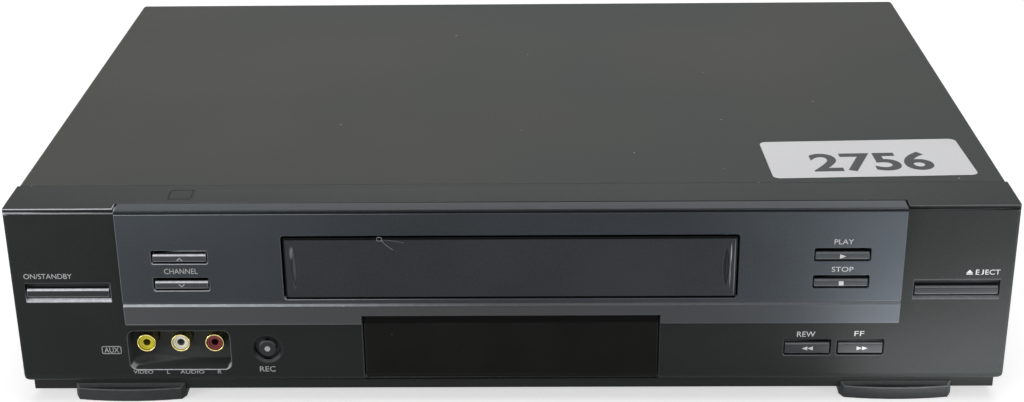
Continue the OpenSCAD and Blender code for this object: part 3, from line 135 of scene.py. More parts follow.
class Sock:
    """A node's output on which sums can be written: each operator adds its Math node.

    A comparison gives one where it holds and zero elsewhere. power raises to a power, turns is the
    fraction past the last whole number, and most is the greater of two values.
    """

    def __init__(self, net: Net, socket: bpy.types.NodeSocket | None) -> None:
        """Keeps the socket, or nothing for an end node, and the net it belongs to."""
        self.net = net
        self.socket = socket

    __add__, __radd__ = math_node("ADD"), math_node("ADD", behind=True)
    __sub__, __rsub__ = math_node("SUBTRACT"), math_node("SUBTRACT", behind=True)
    __mul__, __rmul__ = math_node("MULTIPLY"), math_node("MULTIPLY", behind=True)
    __truediv__, __abs__ = math_node("DIVIDE"), math_node("ABSOLUTE")
    __gt__, __lt__ = math_node("GREATER_THAN"), math_node("LESS_THAN")
    power, turns, most = math_node("POWER"), math_node("FRACT"), math_node("MAXIMUM")

    def ease(self, low: float, high: float) -> Sock:
        """Zero up to low, one from high on, and a smooth rise between them."""
        return self.net.add("ShaderNodeMapRange", {"interpolation_type": "SMOOTHSTEP"},
                            {"Value": self, "From Min": low, "From Max": high})


def squares(first: Sock, second: Sock) -> Sock:
    """The squares of two values added."""
    return first * first + second * second


class Net:
    """One node tree, with the few calls that the finishes are written in."""

    def __init__(self, tree: bpy.types.NodeTree) -> None:
        """Starts from an empty tree."""
        self.tree = tree
        tree.nodes.clear()

    def add(self, kind: str, settings: Mapping[str, Any], inputs: Mapping[int | str, Any],
            output: int | str = 0) -> Sock:
        """Adds any node.

        Args:
            kind: The node's type.
            settings: Its attributes, set first.
            inputs: Values or outputs for its sockets, by name or number.
            output: The socket that the result comes from.

        Returns:
            That output.
        """
        node = self.tree.nodes.new(kind)
        for name, value in settings.items():
            setattr(node, name, value)
        for name, value in inputs.items():
            if isinstance(value, Sock):
                self.tree.links.new(value.socket, node.inputs[name])
            else:
                node.inputs[name].default_value = value
        return Sock(self, node.outputs[output] if len(node.outputs) else None)

    def here(self) -> Sock:
        """The point's place in the frame, in metres."""
        return self.add("ShaderNodeTexCoord", {}, {}, "Object")

    def axis(self, which: int, of: Sock | None = None) -> Sock:
        """One coordinate of the point, or of another vector: 0, 1 or 2 for x, y or z."""
        return self.add("ShaderNodeSeparateXYZ", {}, {0: of or self.here()}, which)

    def facing(self, which: int) -> Sock:
        """How far the surface faces along x, y or z, from -1 to 1."""
        return self.axis(which, self.add("ShaderNodeNewGeometry", {}, {}, "Normal"))

    def noise(self, scale: float, detail: float = 2.0, rough: float = 0.5, of: Sock | None = None) -> Sock:
        """Soft noise of about 0.3 to 0.7, with scale features to the metre."""
        return self.add("ShaderNodeTexNoise", {}, {
            "Vector": of or self.here(), "Scale": scale, "Detail": detail, "Roughness": rough})

    def streaks(self, scale: Triple, detail: float, rough: float,
                turned: Triple = (0.0, 0.0, 0.0)) -> Sock:
        """Noise drawn out into streaks.

        Args:
            scale: Features to the metre along x, y and z.
            detail: The noise's octaves.
            rough: The share of the finer octaves.
            turned: How far it is turned about each axis, in radians.

        Returns:
            The noise.
        """
        place = self.add("ShaderNodeMapping", {}, {"Vector": self.here(), "Scale": scale, "Rotation": turned})
        return self.noise(1.0, detail, rough, place)

    def cells(self, scale: float, output: str, settings: Mapping[str, Any], of: Sock) -> Sock:
        """One output of a pattern of scattered cells, with scale cells to the metre."""
        return self.add("ShaderNodeTexVoronoi", {"feature": "F1", **settings}, {
            "Vector": of, "Scale": scale, "Randomness": 1.0}, output)

    def spots(self, scale: float, radius: float, share: float, across: tuple[int, int] = (0, 1)) -> Sock:
        """Small round spots scattered over a plane.

        Args:
            scale: Cells to the metre.
            radius: A spot's radius in metres.
            share: The share of the cells that hold one, 0 to 1.
            across: The two axes of the plane.

        Returns:
            One inside a spot and zero elsewhere.
        """
        flat = self.add("ShaderNodeCombineXYZ", {}, {0: self.axis(across[0]), 1: self.axis(across[1])})
        near, colour = (self.cells(scale, output, {"voronoi_dimensions": "2D"}, flat)
                        for output in ("Distance", "Color"))
        pick = self.axis(0, colour)
        return (near < radius * scale * (0.35 + pick / share * 0.65)) * (pick < share)

    def mix(self, factor: Any, first: Sock | Colour, second: Sock | Colour) -> Sock:
        """Two colours blended, the first at factor 0 and the second at 1; a plain one is a screen colour."""
        first, second = (side if isinstance(side, Sock) else linear(side) for side in (first, second))
        return self.add("ShaderNodeMix", {"data_type": "RGBA", "clamp_factor": True},
                        {0: factor, 6: first, 7: second}, 2)

    def worn(self) -> Sock:
        """One on the eased edges of a piece, and zero elsewhere."""
        return self.add("ShaderNodeAttribute", {"attribute_name": "worn"}, {}, "Fac")

    def bump(self, height: Sock, strength: float, distance: float) -> Sock:
        """A normal tilted by a height, with the height's full swing in millimetres."""
        return self.add("ShaderNodeBump", {}, {
            "Height": height, "Strength": strength, "Distance": distance * MM})


# ---------------------------------------------------------------- finishes
@dataclass(frozen=True)
class Recipe:
    """A finish: the name of its material and its main colour as the screen shows it."""

    name: str
    colour: Colour

    def material(self) -> bpy.types.Material:
        """Makes the material, which ends in a Principled shader with the finish's sockets."""
        material = bpy.data.materials.new(self.name)
        material.use_nodes = True
        net = Net(material.node_tree)
        shader = net.add("ShaderNodeBsdfPrincipled", {}, self.sockets(net))
        net.add("ShaderNodeOutputMaterial", {}, {"Surface": shader})
        return material

    def sockets(self, net: Net) -> dict[str, Any]:
        """The shader's sockets, as values or outputs."""
        raise NotImplementedError

    def tone(self, by: float) -> Colour:
        """The main colour made lighter or darker by a factor."""
        return shade(self.colour, by)


@dataclass(frozen=True)
class Moulding(Recipe):
    """Moulded plastic with a fine grain and mottle, a painted highlight with some rubbing on sills and edges,
    painted shade in its gaps and a little dust.

    highlight_fade holds where across the painted highlight and rubbing are full, where they are least, and
    that least share. weak_highlight_spot holds the place across and up, and the radius, of a part that has
    hardly any.
    bay is the span across of the jack bay, which gets painted light.
    """

    # The accent colour: on a moulding, a painted highlight with some rubbing, on eased edges and sloping
    # faces.
    rubbed: Colour
    roughness: float = 0.45
    specular: float = 0.3
    mottle: float = 0.07
    dust: float = 0.0
    # Strength of a painted sheen towards the ends and the top.
    end_sheen: float = 0.0
    face_y: float | None = None
    bay: Pair = (0.0, 0.0)
    # Painted shade on level tops, which on the keys lie deep in their slots.
    shaded_tops: bool = False
    # Painted highlight and rubbing: where across they are full, where least, and that least share.
    highlight_fade: Triple = (0.0, 0.0, 1.0)
    # A spot with hardly any painted highlight or rubbing.
    weak_highlight_spot: Triple | None = None

    def sockets(self, net: Net) -> dict[str, Any]:
        """Tints it by two noises, adds any painted sheen, takes eased edges and sloping faces to the accent
        colour as a painted highlight with some rubbing, adds what lies on it and paints shade in gaps and on
        level tops.

        Args:
            net: The material's net.

        Returns:
            The shader's sockets.
        """
        cloud = net.noise(14.0, 3.0, 0.55)
        depth = (cloud * 0.6 + net.noise(900.0, 2.0, 0.6) * 0.4).ease(0.35, 0.65)
        base = self.tinted(net, net.mix(depth, self.tone(1 - self.mottle), self.tone(1 + self.mottle)))
        # Painted sheen: paler towards both ends and towards the top.
        if self.end_sheen:
            outward = abs(net.axis(0)).ease(0.02, 0.2) * (0.55 + net.axis(2).ease(0.07, 0.094) * 0.45)
            base = net.mix(outward * self.end_sheen, base, self.tone(1.6))
        up = net.facing(2)
        # Painted highlight, with some rubbing, on sloping faces and eased edges, weaker towards the right.
        tilted = up.ease(SLOPE, SLOPED) * (1 - up.ease(FLATTISH, FLAT))
        edge = self.highlight_and_rubbing(net, up, tilted)
        base = net.mix(edge, base, self.rubbed)
        chip = net.worn() * (net.noise(520.0, 4.0, 0.7) > 0.72)
        base = net.mix(chip * 0.7, base, shade(self.rubbed, 1.25))
        if self.dust:
            lying = up.ease(0.35, 0.95) * net.noise(160.0, 5.0, 0.65).ease(0.46, 0.78)
            base = net.mix(lying * self.dust, base, DUST)
        if self.face_y is not None:
            base = self.gaps(net, base, up, tilted)
        # Painted shade on the level tops.
        if self.shaded_tops:
            base = net.mix(up.ease(0.97, 0.995), base, self.tone(0.25))
        height = net.noise(2600.0, 1.0, 0.5) * 0.8 + net.noise(60.0, 1.0, 0.5) * 0.2
        return {"Base Color": self.trimmed(net, base), "Specular IOR Level": self.specular,
                "Roughness": self.roughness + (cloud - 0.5) * 0.12 - edge * 0.08,
                "Normal": net.bump(height, 0.22, 0.06)}

    def highlight_and_rubbing(self, net: Net, up: Sock, tilted: Sock) -> Sock:
        """Works out how strong the painted highlight, with some rubbing, is at each place, broken up by
        noise.

        Args:
            net: The material's net.
            up: How far the surface faces up.
            tilted: One on sloping faces and zero elsewhere.

        Returns:
            The share of the accent colour: that of sloping faces or of eased edges, less towards the right,
            in the weak highlight spot and from 3 mm behind the face.
        """
        edge = tilted.most(net.worn() * (0.18 + up.ease(0.15, 0.5) * 0.82))
        full, none, least = self.highlight_fade
        if least < 1.0:
            edge = edge * (1 - net.axis(0).ease(full, none) * (1 - least))
        if self.weak_highlight_spot:
            x, z, radius = self.weak_highlight_spot
            away = squares(net.axis(0) - x, net.axis(2) - z).ease(0.8 * radius ** 2, radius ** 2)
            edge = edge * (0.1 + away * 0.9)
        if self.face_y is not None:
            edge = edge * (1 - net.axis(1).ease(self.face_y + 3 * MM, self.face_y + 6 * MM) * 0.85)
        return edge * (0.8 + net.noise(420.0, 4.0, 0.7).ease(0.4, 0.65) * 0.2)

    def gaps(self, net: Net, base: Sock, up: Sock, tilted: Sock) -> Sock:
        """Paints shade on what lies behind the front face and in the groove, and paints light on the jack
        bay.

        Args:
            net: The material's net.
            base: The colour so far.
            up: How far the surface faces up.
            tilted: One on sloping faces, which stay as they are.

        Returns:
            The colour.
        """
        across, height = net.axis(0), net.axis(2)
        inside = (height < FRONT_TOP) * (height > FRONT_FOOT) * (abs(across) < FRONT_HALF)
        behind = net.axis(1).ease(self.face_y + 0.6 * MM, self.face_y + 1.2 * MM) * inside * (1 - tilted)
        within = (across > self.bay[0]) * (across < self.bay[1])
        # Painted shade on what lies behind the front face.
        base = net.mix(behind * (1 - within), base, self.tone(0.25))
        # Painted light on the jack bay's walls.
        base = net.mix(behind * within, base, self.tone(1.7))
        # Painted shade on level faces at the groove's heights.
        sunk = (height > GROOVE_LOW) * (height < GROOVE_HIGH) * (up > FLATTISH)
        return net.mix(sunk, base, self.tone(0.3))

    def tinted(self, net: Net, base: Sock) -> Sock:
        """The plain colour with what one moulding's plastic adds to it: here nothing."""
        return base

    def trimmed(self, net: Net, base: Sock) -> Sock:
        """The worn colour with what one moulding has on top of it: here nothing."""
        return base


@dataclass(frozen=True)
class BezelMoulding(Moulding):
    """The bezel's black plastic, with painted shade in the line round the square tab on its top."""

    tab: tuple[float, float, float, float] = (-0.1412, 0.01505, 0.0051, 0.002)

    def trimmed(self, net: Net, base: Sock) -> Sock:
        """Paints shade along the line where the distance to the rounded square is small.

        That distance is the length of the part of (|across|, |back|) - (half - radius) above zero,
        less the radius. The line fades along the front of the tab.

        Args:
            net: The material's net.
            base: The colour so far.

        Returns:
            The colour.
        """
        middle, back, half, radius = self.tab
        across, depth = net.axis(0) - middle, net.axis(1) - (self.face_y + back)
        out, away = ((abs(side) - (half - radius)).most(0.0) for side in (across, depth))
        gap = abs(squares(out, away).power(0.5) - radius)
        front = (depth < -3.5 * MM) * (abs(across) < 3.2 * MM)
        line = (1 - gap.ease(0.2 * MM, 0.6 * MM)) * (net.axis(2) > 94 * MM) * (1 - front * 0.7)
        # Painted shade in the groove round the tab.
        return net.mix(line * 0.9, base, GROOVE_SHADE)


@dataclass(frozen=True)
class FasciaMoulding(Moulding):
    """The fascia's blue-grey plastic: painted light, paler and greyer, under its crease and a painted sheen
    at its right end.
    """

    # Painted light on the band under the crease.
    band_light: Colour = (78, 78, 79)

    def tinted(self, net: Net, base: Sock) -> Sock:
        """Mixes in painted light where the height is under the crease, less towards the right, and a painted
        sheen towards the end.

        Args:
            net: The material's net.
            base: The colour so far.

        Returns:
            The colour.
        """
        across, height = net.axis(0), net.axis(2)
        # Painted light on the band under the crease, fading to the right.
        low = (1 - height.ease(0.0485, 0.0535)) * (1 - across.ease(0.0, 0.16) * 0.8)
        base = net.mix(low * 0.85, base, self.band_light)
        # Painted sheen towards the right end.
        return net.mix(across.ease(0.11, 0.17) * 0.3, base, self.tone(1.75))


@dataclass(frozen=True)
class DoorMoulding(Moulding):
    """The door's plastic: painted shade round it in the gap, and painted highlights and a painted shade at
    its scoops and right end.

    face holds the left, right, low and high limits of what isn't in the painted gap shade. Each of the lit
    ovals has its middle across and up, its half width and height, and its strength.
    """

    face: tuple[float, float, float, float] = (-0.0955, 0.0957, 0.05462, 0.0814)
    lit_ovals: tuple[tuple[float, float, float, float, float], ...] = (
        (-0.0927, 0.0752, 0.0008, 0.0026, 0.3), (-0.0921, 0.067, 0.0006, 0.0075, 0.1),
        (0.0937, 0.0745, 0.0002, 0.004, 0.75), (0.0935, 0.0655, 0.0003, 0.006, 0.28),
        (0.0953, 0.068, 0.00022, 0.0125, 0.3), (0.0914, 0.069, 0.0004, 0.006, -0.6))

    def trimmed(self, net: Net, base: Sock) -> Sock:
        """Adds the painted highlights and shade, then the painted gap shade.

        Each lit oval is an oval: its strength falls from 1 at its middle to 0 where
        (across / half width)^2 + (up / half height)^2 reaches 2. A positive one is a painted highlight, a
        negative one a painted shade.

        Args:
            net: The material's net.
            base: The colour so far.

        Returns:
            The colour.
        """
        across, height = net.axis(0), net.axis(2)
        # Painted highlights, and one painted shade, at the scoops and the right end.
        for middle, level, wide, tall, strength in self.lit_ovals:
            oval = 1 - squares((across - middle) * (1 / wide), (height - level) * (1 / tall)).ease(0.2, 2.0)
            base = net.mix(oval * abs(strength), base, HIGHLIGHT_TONE if strength > 0 else SHADOW)
        left, right, low, high = self.face
        inside = (across > left) * (across < right) * (height > low) * (height < high)
        # Painted shade in the gap round the door.
        return net.mix(1 - inside, base, GAP_SHADE)


@dataclass(frozen=True)
class KeyMoulding(Moulding):
    """The keys' plastic: fascia grey on the side keys, bezel black on the rest."""

    deep: Colour = (38, 41, 43)

    def tinted(self, net: Net, base: Sock) -> Sock:
        """Picks the black wherever the place isn't on the fascia."""
        on_fascia = (abs(net.axis(0)) < 0.16) * (net.axis(2) > 0.05)
        return net.mix(1 - on_fascia, base, self.deep)


@dataclass(frozen=True)
class PaintedSheet(Recipe):
    """Sheet steel under fine-textured paint, with dust specks, faint scuffs and bare chips on its folds."""

    roughness: float = 0.5
    specular: float = 0.35
    specks: float = 0.3

    def sockets(self, net: Net) -> dict[str, Any]:
        """Drifting tint, orange-peel bump, scattered specks on level faces, chips at edges.

        Args:
            net: The material's net.

        Returns:
            The shader's sockets.
        """
        drift = net.noise(5.0, 2.0, 0.5).ease(0.32, 0.68)
        grain = net.noise(1500.0, 3.0, 0.6)
        warm, cool = (tuple(part * by for part, by in zip(self.colour, cast))
                      for cast in ((1.03, 1.0, 0.975), (0.97, 1.0, 1.0)))
        base = net.mix(drift, warm, cool)
        base = net.mix(grain.ease(0.3, 0.7) * 0.16, base, self.tone(0.72))
        level = net.facing(2) > 0.6
        streak = net.streaks((18.0, 260.0, 18.0), 3.0, 0.6, (0.0, 0.0, 0.18))
        base = net.mix(streak.ease(0.66, 0.8) * level * 0.14, base, self.tone(1.35))
        speck = net.spots(22.0, 0.5 * MM, self.specks) * level
        base = net.mix(speck * 0.75, base, (176, 178, 176))
        dimple = net.spots(15.0, 1.1 * MM, 0.25) * level
        chip = net.worn() * (net.noise(190.0, 4.0, 0.7) > 0.66)
        return {"Base Color": net.mix(chip, base, BARE_STEEL), "Specular IOR Level": self.specular,
                "Roughness": self.roughness + (drift - 0.5) * 0.05 + streak.ease(0.6, 0.8) * 0.05,
                "Normal": net.bump(grain * 0.75 + dimple * 0.6 + speck * 0.4, 0.3, 0.08)}


@dataclass(frozen=True)
class SmokedWindow(Recipe):
    """Near-black polished window with a dull tinted body, small marks, smears and a painted highlight on its
    eased edges.
    """

    # Painted highlight on the eased edges.
    edge_highlight: Colour
    top_z: float

    def sockets(self, net: Net) -> dict[str, Any]:
        """Specks and smears by spots and stretched noise, and a painted shadow along the top.

        Args:
            net: The material's net.

        Returns:
            The shader's sockets.
        """
        cloud = net.noise(30.0, 3.0, 0.6)
        base = net.mix(cloud.ease(0.3, 0.7), self.tone(0.86), self.tone(1.12))
        smear = net.streaks((230.0, 230.0, 90.0), 4.0, 0.65, (0.0, 0.5, 0.0)).ease(0.68, 0.76)
        base = net.mix(smear * 0.8, base, self.tone(0.45))
        speck = net.spots(95.0, 0.35 * MM, 0.16, (0, 2))
        base = net.mix(speck * 0.5, base, (120, 120, 118))
        # Painted shadow along the top, where the fascia overhangs.
        top_shadow = net.axis(2).ease(self.top_z - 3.6 * MM, self.top_z - 2.6 * MM)
        base = net.mix(top_shadow, base, WINDOW_TOP_SHADE)
        # Painted highlight on the eased edges, outside the shadow.
        return {"Base Color": net.mix(net.worn() * (1 - top_shadow) * 0.6, base, self.edge_highlight),
                "Roughness": 0.16 + cloud.ease(0.45, 0.75) * 0.14 + smear * 0.2 + speck * 0.3,
                "Specular IOR Level": 0.06, "Normal": net.bump(net.noise(120.0, 2.0, 0.5), 0.12, 0.05)}


@dataclass(frozen=True)
class PlatedSheet(Recipe):
    """Zinc-plated or tinned sheet: broad spangle, rolling lines and dulled, stained patches."""

    stain: Colour

    def sockets(self, net: Net) -> dict[str, Any]:
        """Each cell of the spangle has its own tone and gloss, crossed by fine rolling lines.

        Args:
            net: The material's net.

        Returns:
            The shader's sockets.
        """
        cell = net.axis(0, net.cells(70.0, "Color", {}, net.here()))
        rolled = net.streaks((60.0, 2600.0, 2600.0), 3.0, 0.6)
        stained = net.noise(26.0, 5.0, 0.6).ease(0.5, 0.78)
        base = net.mix(cell, self.tone(0.93), self.tone(1.05))
        return {"Base Color": net.mix(stained * 0.35, base, self.stain), "Metallic": 0.95 - stained * 0.2,
                "Roughness": 0.36 + (cell - 0.5) * 0.1 + stained * 0.14 + (rolled - 0.5) * 0.1,
                "Normal": net.bump(rolled * 0.7 + cell * 0.3, 0.16, 0.04)}


@dataclass(frozen=True)
class TurnedMetal(Recipe):
    """Turned or ground metal: fine tool rings up the piece and a slight haze of handling."""

    def sockets(self, net: Net) -> dict[str, Any]:
        """Rings are a fine wave of the height, broken by noise.

        Args:
            net: The material's net.

        Returns:
            The shader's sockets.
        """
        wobble = net.noise(300.0, 3.0, 0.6)
        ring = (net.axis(2) * 5200.0 + wobble * 2.2).turns()
        haze = net.noise(45.0, 4.0, 0.6).ease(0.4, 0.72)
        return {"Base Color": net.mix(haze, self.colour, self.tone(0.84)), "Metallic": 1.0,
                "Roughness": 0.26 + haze * 0.16 + ring * 0.07,
                "Normal": net.bump(abs(ring - 0.5) + wobble * 0.3, 0.14, 0.03)}


@dataclass(frozen=True)
class GoldPlating(Recipe):
    """Gold flash over nickel: warm and bright, duller and browner where plugs have worn it."""

    # The colour of the patches that plugs have worn.
    rubbed: Colour

    def sockets(self, net: Net) -> dict[str, Any]:
        """Rubbed patches by noise, with fine drag lines along the sleeve as bump.

        Args:
            net: The material's net.

        Returns:
            The shader's sockets.
        """
        drag = net.streaks((2400.0, 240.0, 2400.0), 4.0, 0.65)
        worn = net.noise(330.0, 4.0, 0.6).ease(0.48, 0.75)
        return {"Base Color": net.mix(worn * 0.7, self.colour, self.rubbed), "Metallic": 1.0,
                "Roughness": 0.2 + worn * 0.2 + (drag - 0.5) * 0.14, "Normal": net.bump(drag, 0.15, 0.03)}


@dataclass(frozen=True)
class JackInsert(Recipe):
    """Coloured jack insert: glossy round its mouth, with painted shade in the hole for the plug's pin."""

    middle_x: float
    middle_z: float = 29.29 * MM
    hole: float = 1.75 * MM

    def sockets(self, net: Net) -> dict[str, Any]:
        """The hole's painted shade is where the distance from the axis is small; out from the rim the insert
        is darker, with dirt over it.

        Args:
            net: The material's net.

        Returns:
            The shader's sockets.
        """
        reach = squares(net.axis(0) - self.middle_x, net.axis(2) - self.middle_z).power(0.5)
        dirt = net.noise(700.0, 4.0, 0.65).ease(0.45, 0.75)
        base = net.mix(dirt * 0.3, self.colour, self.tone(0.78))
        base = net.mix(reach.ease(2.2 * MM, 3.4 * MM) * 0.35, base, self.tone(0.7))
        # Painted shade in the pin's hole.
        hole = 1 - reach.ease(self.hole - 0.3 * MM, self.hole + 0.1 * MM)
        return {"Base Color": net.mix(hole, base, PIN_HOLE_SHADE), "Roughness": 0.28 + dirt * 0.2 + hole * 0.3,
                "Normal": net.bump(dirt, 0.1, 0.05)}


@dataclass(frozen=True)
class PrintedBoard(Recipe):
    """Circuit board: lacquer over copper runs, tinned pads and a woven or pressed ground."""

    runs: Colour
    pads: Colour = (176, 176, 168)
    pitch: float = 2.54 * MM

    def sockets(self, net: Net) -> dict[str, Any]:
        """Runs are bands of stepped noise, pads are rings round the middles of a square lattice.

        Args:
            net: The material's net.

        Returns:
            The shader's sockets.
        """
        weave = net.noise(1400.0, 2.0, 0.6)
        base = net.mix(weave, self.tone(0.9), self.tone(1.08))
        run = abs((net.noise(34.0, 0.0, 0.5) * 11.0).turns() - 0.5).ease(0.26, 0.3)
        base = net.mix(run * 0.75, base, self.runs)
        across, back, down = ((net.axis(which) / self.pitch).turns() - 0.5 for which in range(3))
        upright = abs(net.facing(1)) > 0.5
        ring = squares(across, upright * down + (1 - upright) * back).power(0.5)
        pad = (ring < 0.3) * (1 - (ring < 0.12)) * (net.noise(70.0, 1.0, 0.5) > 0.56)
        return {"Base Color": net.mix(pad, base, self.pads), "Metallic": pad * 0.85,
                "Roughness": 0.34 + (weave - 0.5) * 0.2 + pad * 0.1,
                "Normal": net.bump(run * 0.6 + pad * 0.8 + weave * 0.2, 0.3, 0.05)}


@dataclass(frozen=True)
class WoundCore(Recipe):
    """Transformer: stacked core plates at the middle and tape over the coil at the ends."""

    plates: Colour
    middle_y: float
    half_core: float

    def sockets(self, net: Net) -> dict[str, Any]:
        """The core is where the depth lies within its half length of the middle.

        Args:
            net: The material's net.

        Returns:
            The shader's sockets.
        """
        core = abs(net.axis(1) - self.middle_y) < self.half_core
        plate = abs((net.axis(1) * 2000.0).turns() - 0.5)
        steel = net.mix(plate.ease(0.1, 0.4), shade(self.plates, 0.6), self.plates)
        lap = (net.axis(2) * 140.0 + net.noise(60.0) * 0.3).turns()
        tape = net.mix(lap.ease(0.0, 0.12), self.tone(0.7), self.colour)
        tape = net.mix(net.noise(90.0, 3.0).ease(0.5, 0.8) * 0.3, tape, self.tone(1.25))
        ridge = core * plate + (1 - core) * lap.ease(0.0, 0.1)
        return {"Base Color": net.mix(core, tape, steel), "Roughness": 0.28 + core * 0.25,
                "Metallic": core * 0.6, "Normal": net.bump(ridge, 0.35, 0.1)}


@dataclass(frozen=True)
class ShrinkSleeve(Recipe):
    """Electrolytic capacitor: printed shrink sleeve with a pale stripe and a bare scored top."""

    stripe: Colour
    can: Colour

    def sockets(self, net: Net) -> dict[str, Any]:
        """The top shows by its facing, and the stripe is the side turned to the right.

        Args:
            net: The material's net.

        Returns:
            The shader's sockets.
        """
        top = net.facing(2) > 0.85
        side = net.mix(net.facing(0).ease(0.9, 0.94), self.colour, self.stripe)
        side = net.mix(net.noise(240.0, 3.0).ease(0.4, 0.8) * 0.2, side, self.tone(1.7))
        metal = net.mix(net.noise(300.0, 3.0), shade(self.can, 0.85), self.can)
        return {"Base Color": net.mix(top, side, metal), "Roughness": 0.27 + top * 0.12,
                "Metallic": top * 0.9, "Normal": net.bump(net.noise(900.0, 2.0), 0.1, 0.04)}


@dataclass(frozen=True)
class TubeGlass(Recipe):
    """Display tube: grey-green glass over the bars of its segments."""

    segment: Colour

    def sockets(self, net: Net) -> dict[str, Any]:
        """Segments are a lattice of short bars.

        Args:
            net: The material's net.

        Returns:
            The shader's sockets.
        """
        column, row = (abs((net.axis(which) * count).turns() - 0.5)
                       for which, count in ((0, 105.0), (2, 95.0)))
        bar = ((column > 0.3) * (column < 0.36)).most((row > 0.34) * (row < 0.42)) * (column < 0.38)
        haze = net.noise(40.0, 3.0).ease(0.4, 0.7)
        return {"Base Color": net.mix(bar * 0.8, self.colour, self.segment), "Roughness": 0.07 + haze * 0.08,
                "Coat Weight": 0.6, "Normal": net.bump(haze, 0.05, 0.1)}


@dataclass(frozen=True)
class SoftRubber(Recipe):
    """Black rubber: dull, finely pitted, shinier where wax has bloomed."""

    def sockets(self, net: Net) -> dict[str, Any]:
        """Pits and a bloom of pale wax by noise.

        Args:
            net: The material's net.

        Returns:
            The shader's sockets.
        """
        bloom = net.noise(110.0, 4.0, 0.6).ease(0.5, 0.8)
        return {"Base Color": net.mix(bloom * 0.4, self.colour, self.tone(2.0)),
                "Roughness": 0.78 - bloom * 0.15, "Specular IOR Level": 0.3,
                "Normal": net.bump(net.noise(1900.0, 3.0, 0.6), 0.35, 0.08)}


@dataclass(frozen=True)
class Ink(Recipe):
    """Printing: flat paint that is a little thin and broken in places."""

    under: Colour
    thin: float = 0.35
    specular: float = 0.5

    def sockets(self, net: Net) -> dict[str, Any]:
        """The ground shows through by fine noise.

        Args:
            net: The material's net.

        Returns:
            The shader's sockets.
        """
        gap = net.noise(2100.0, 3.0, 0.7).ease(0.5, 0.76)
        return {"Base Color": net.mix(gap * self.thin, self.colour, self.under),
                "Roughness": 0.55 + gap * 0.1, "Specular IOR Level": self.specular,
                "Normal": net.bump(gap, 0.1, 0.02)}


@dataclass(frozen=True)
class LabelPaper(Recipe):
    """Coated label paper, faintly mottled."""

    def sockets(self, net: Net) -> dict[str, Any]:
        """Fibre mottle, a slow drift in tone and a satin gloss.

        Args:
            net: The material's net.

        Returns:
            The shader's sockets.
        """
        fibre = net.noise(1100.0, 4.0, 0.65)
        base = net.mix(fibre.ease(0.3, 0.7), self.tone(0.975), self.colour)
        base = net.mix(net.noise(12.0, 2.0, 0.5).ease(0.3, 0.7) * 0.5, base, self.tone(0.94))
        return {"Base Color": base, "Roughness": 0.5 + (fibre - 0.5) * 0.15,
                "Normal": net.bump(fibre, 0.12, 0.03)}


class Finish(Enum):
    """The recorder's finishes, each with the record's slot as its value."""

    COVER = "cover_paint"
    PAN = "pan_steel"
    BEZEL = "bezel_plastic"
    FASCIA = "fascia_plastic"
    DOOR = "door_plastic"
    WINDOW = "window_plastic"
    BUTTON = "button_plastic"
    FOOT = "foot_plastic"
    BOARD_GREEN = "board_green"
    BOARD_TAN = "board_tan"
    INSULATOR = "black_insulator"
    TUBE = "tube_glass"
    GOLD = "gold_plate"
    YELLOW = "yellow_plastic"
    WHITE = "white_plastic"
    RED = "red_plastic"
    ZINC = "zinc_steel"
    TURNED = "machined_metal"
    WINDING = "winding_tape"
    CAPACITOR = "capacitor_sleeve"
    NYLON = "nylon"
    DARK_NYLON = "dark_nylon"
    RUBBER = "rubber_black"


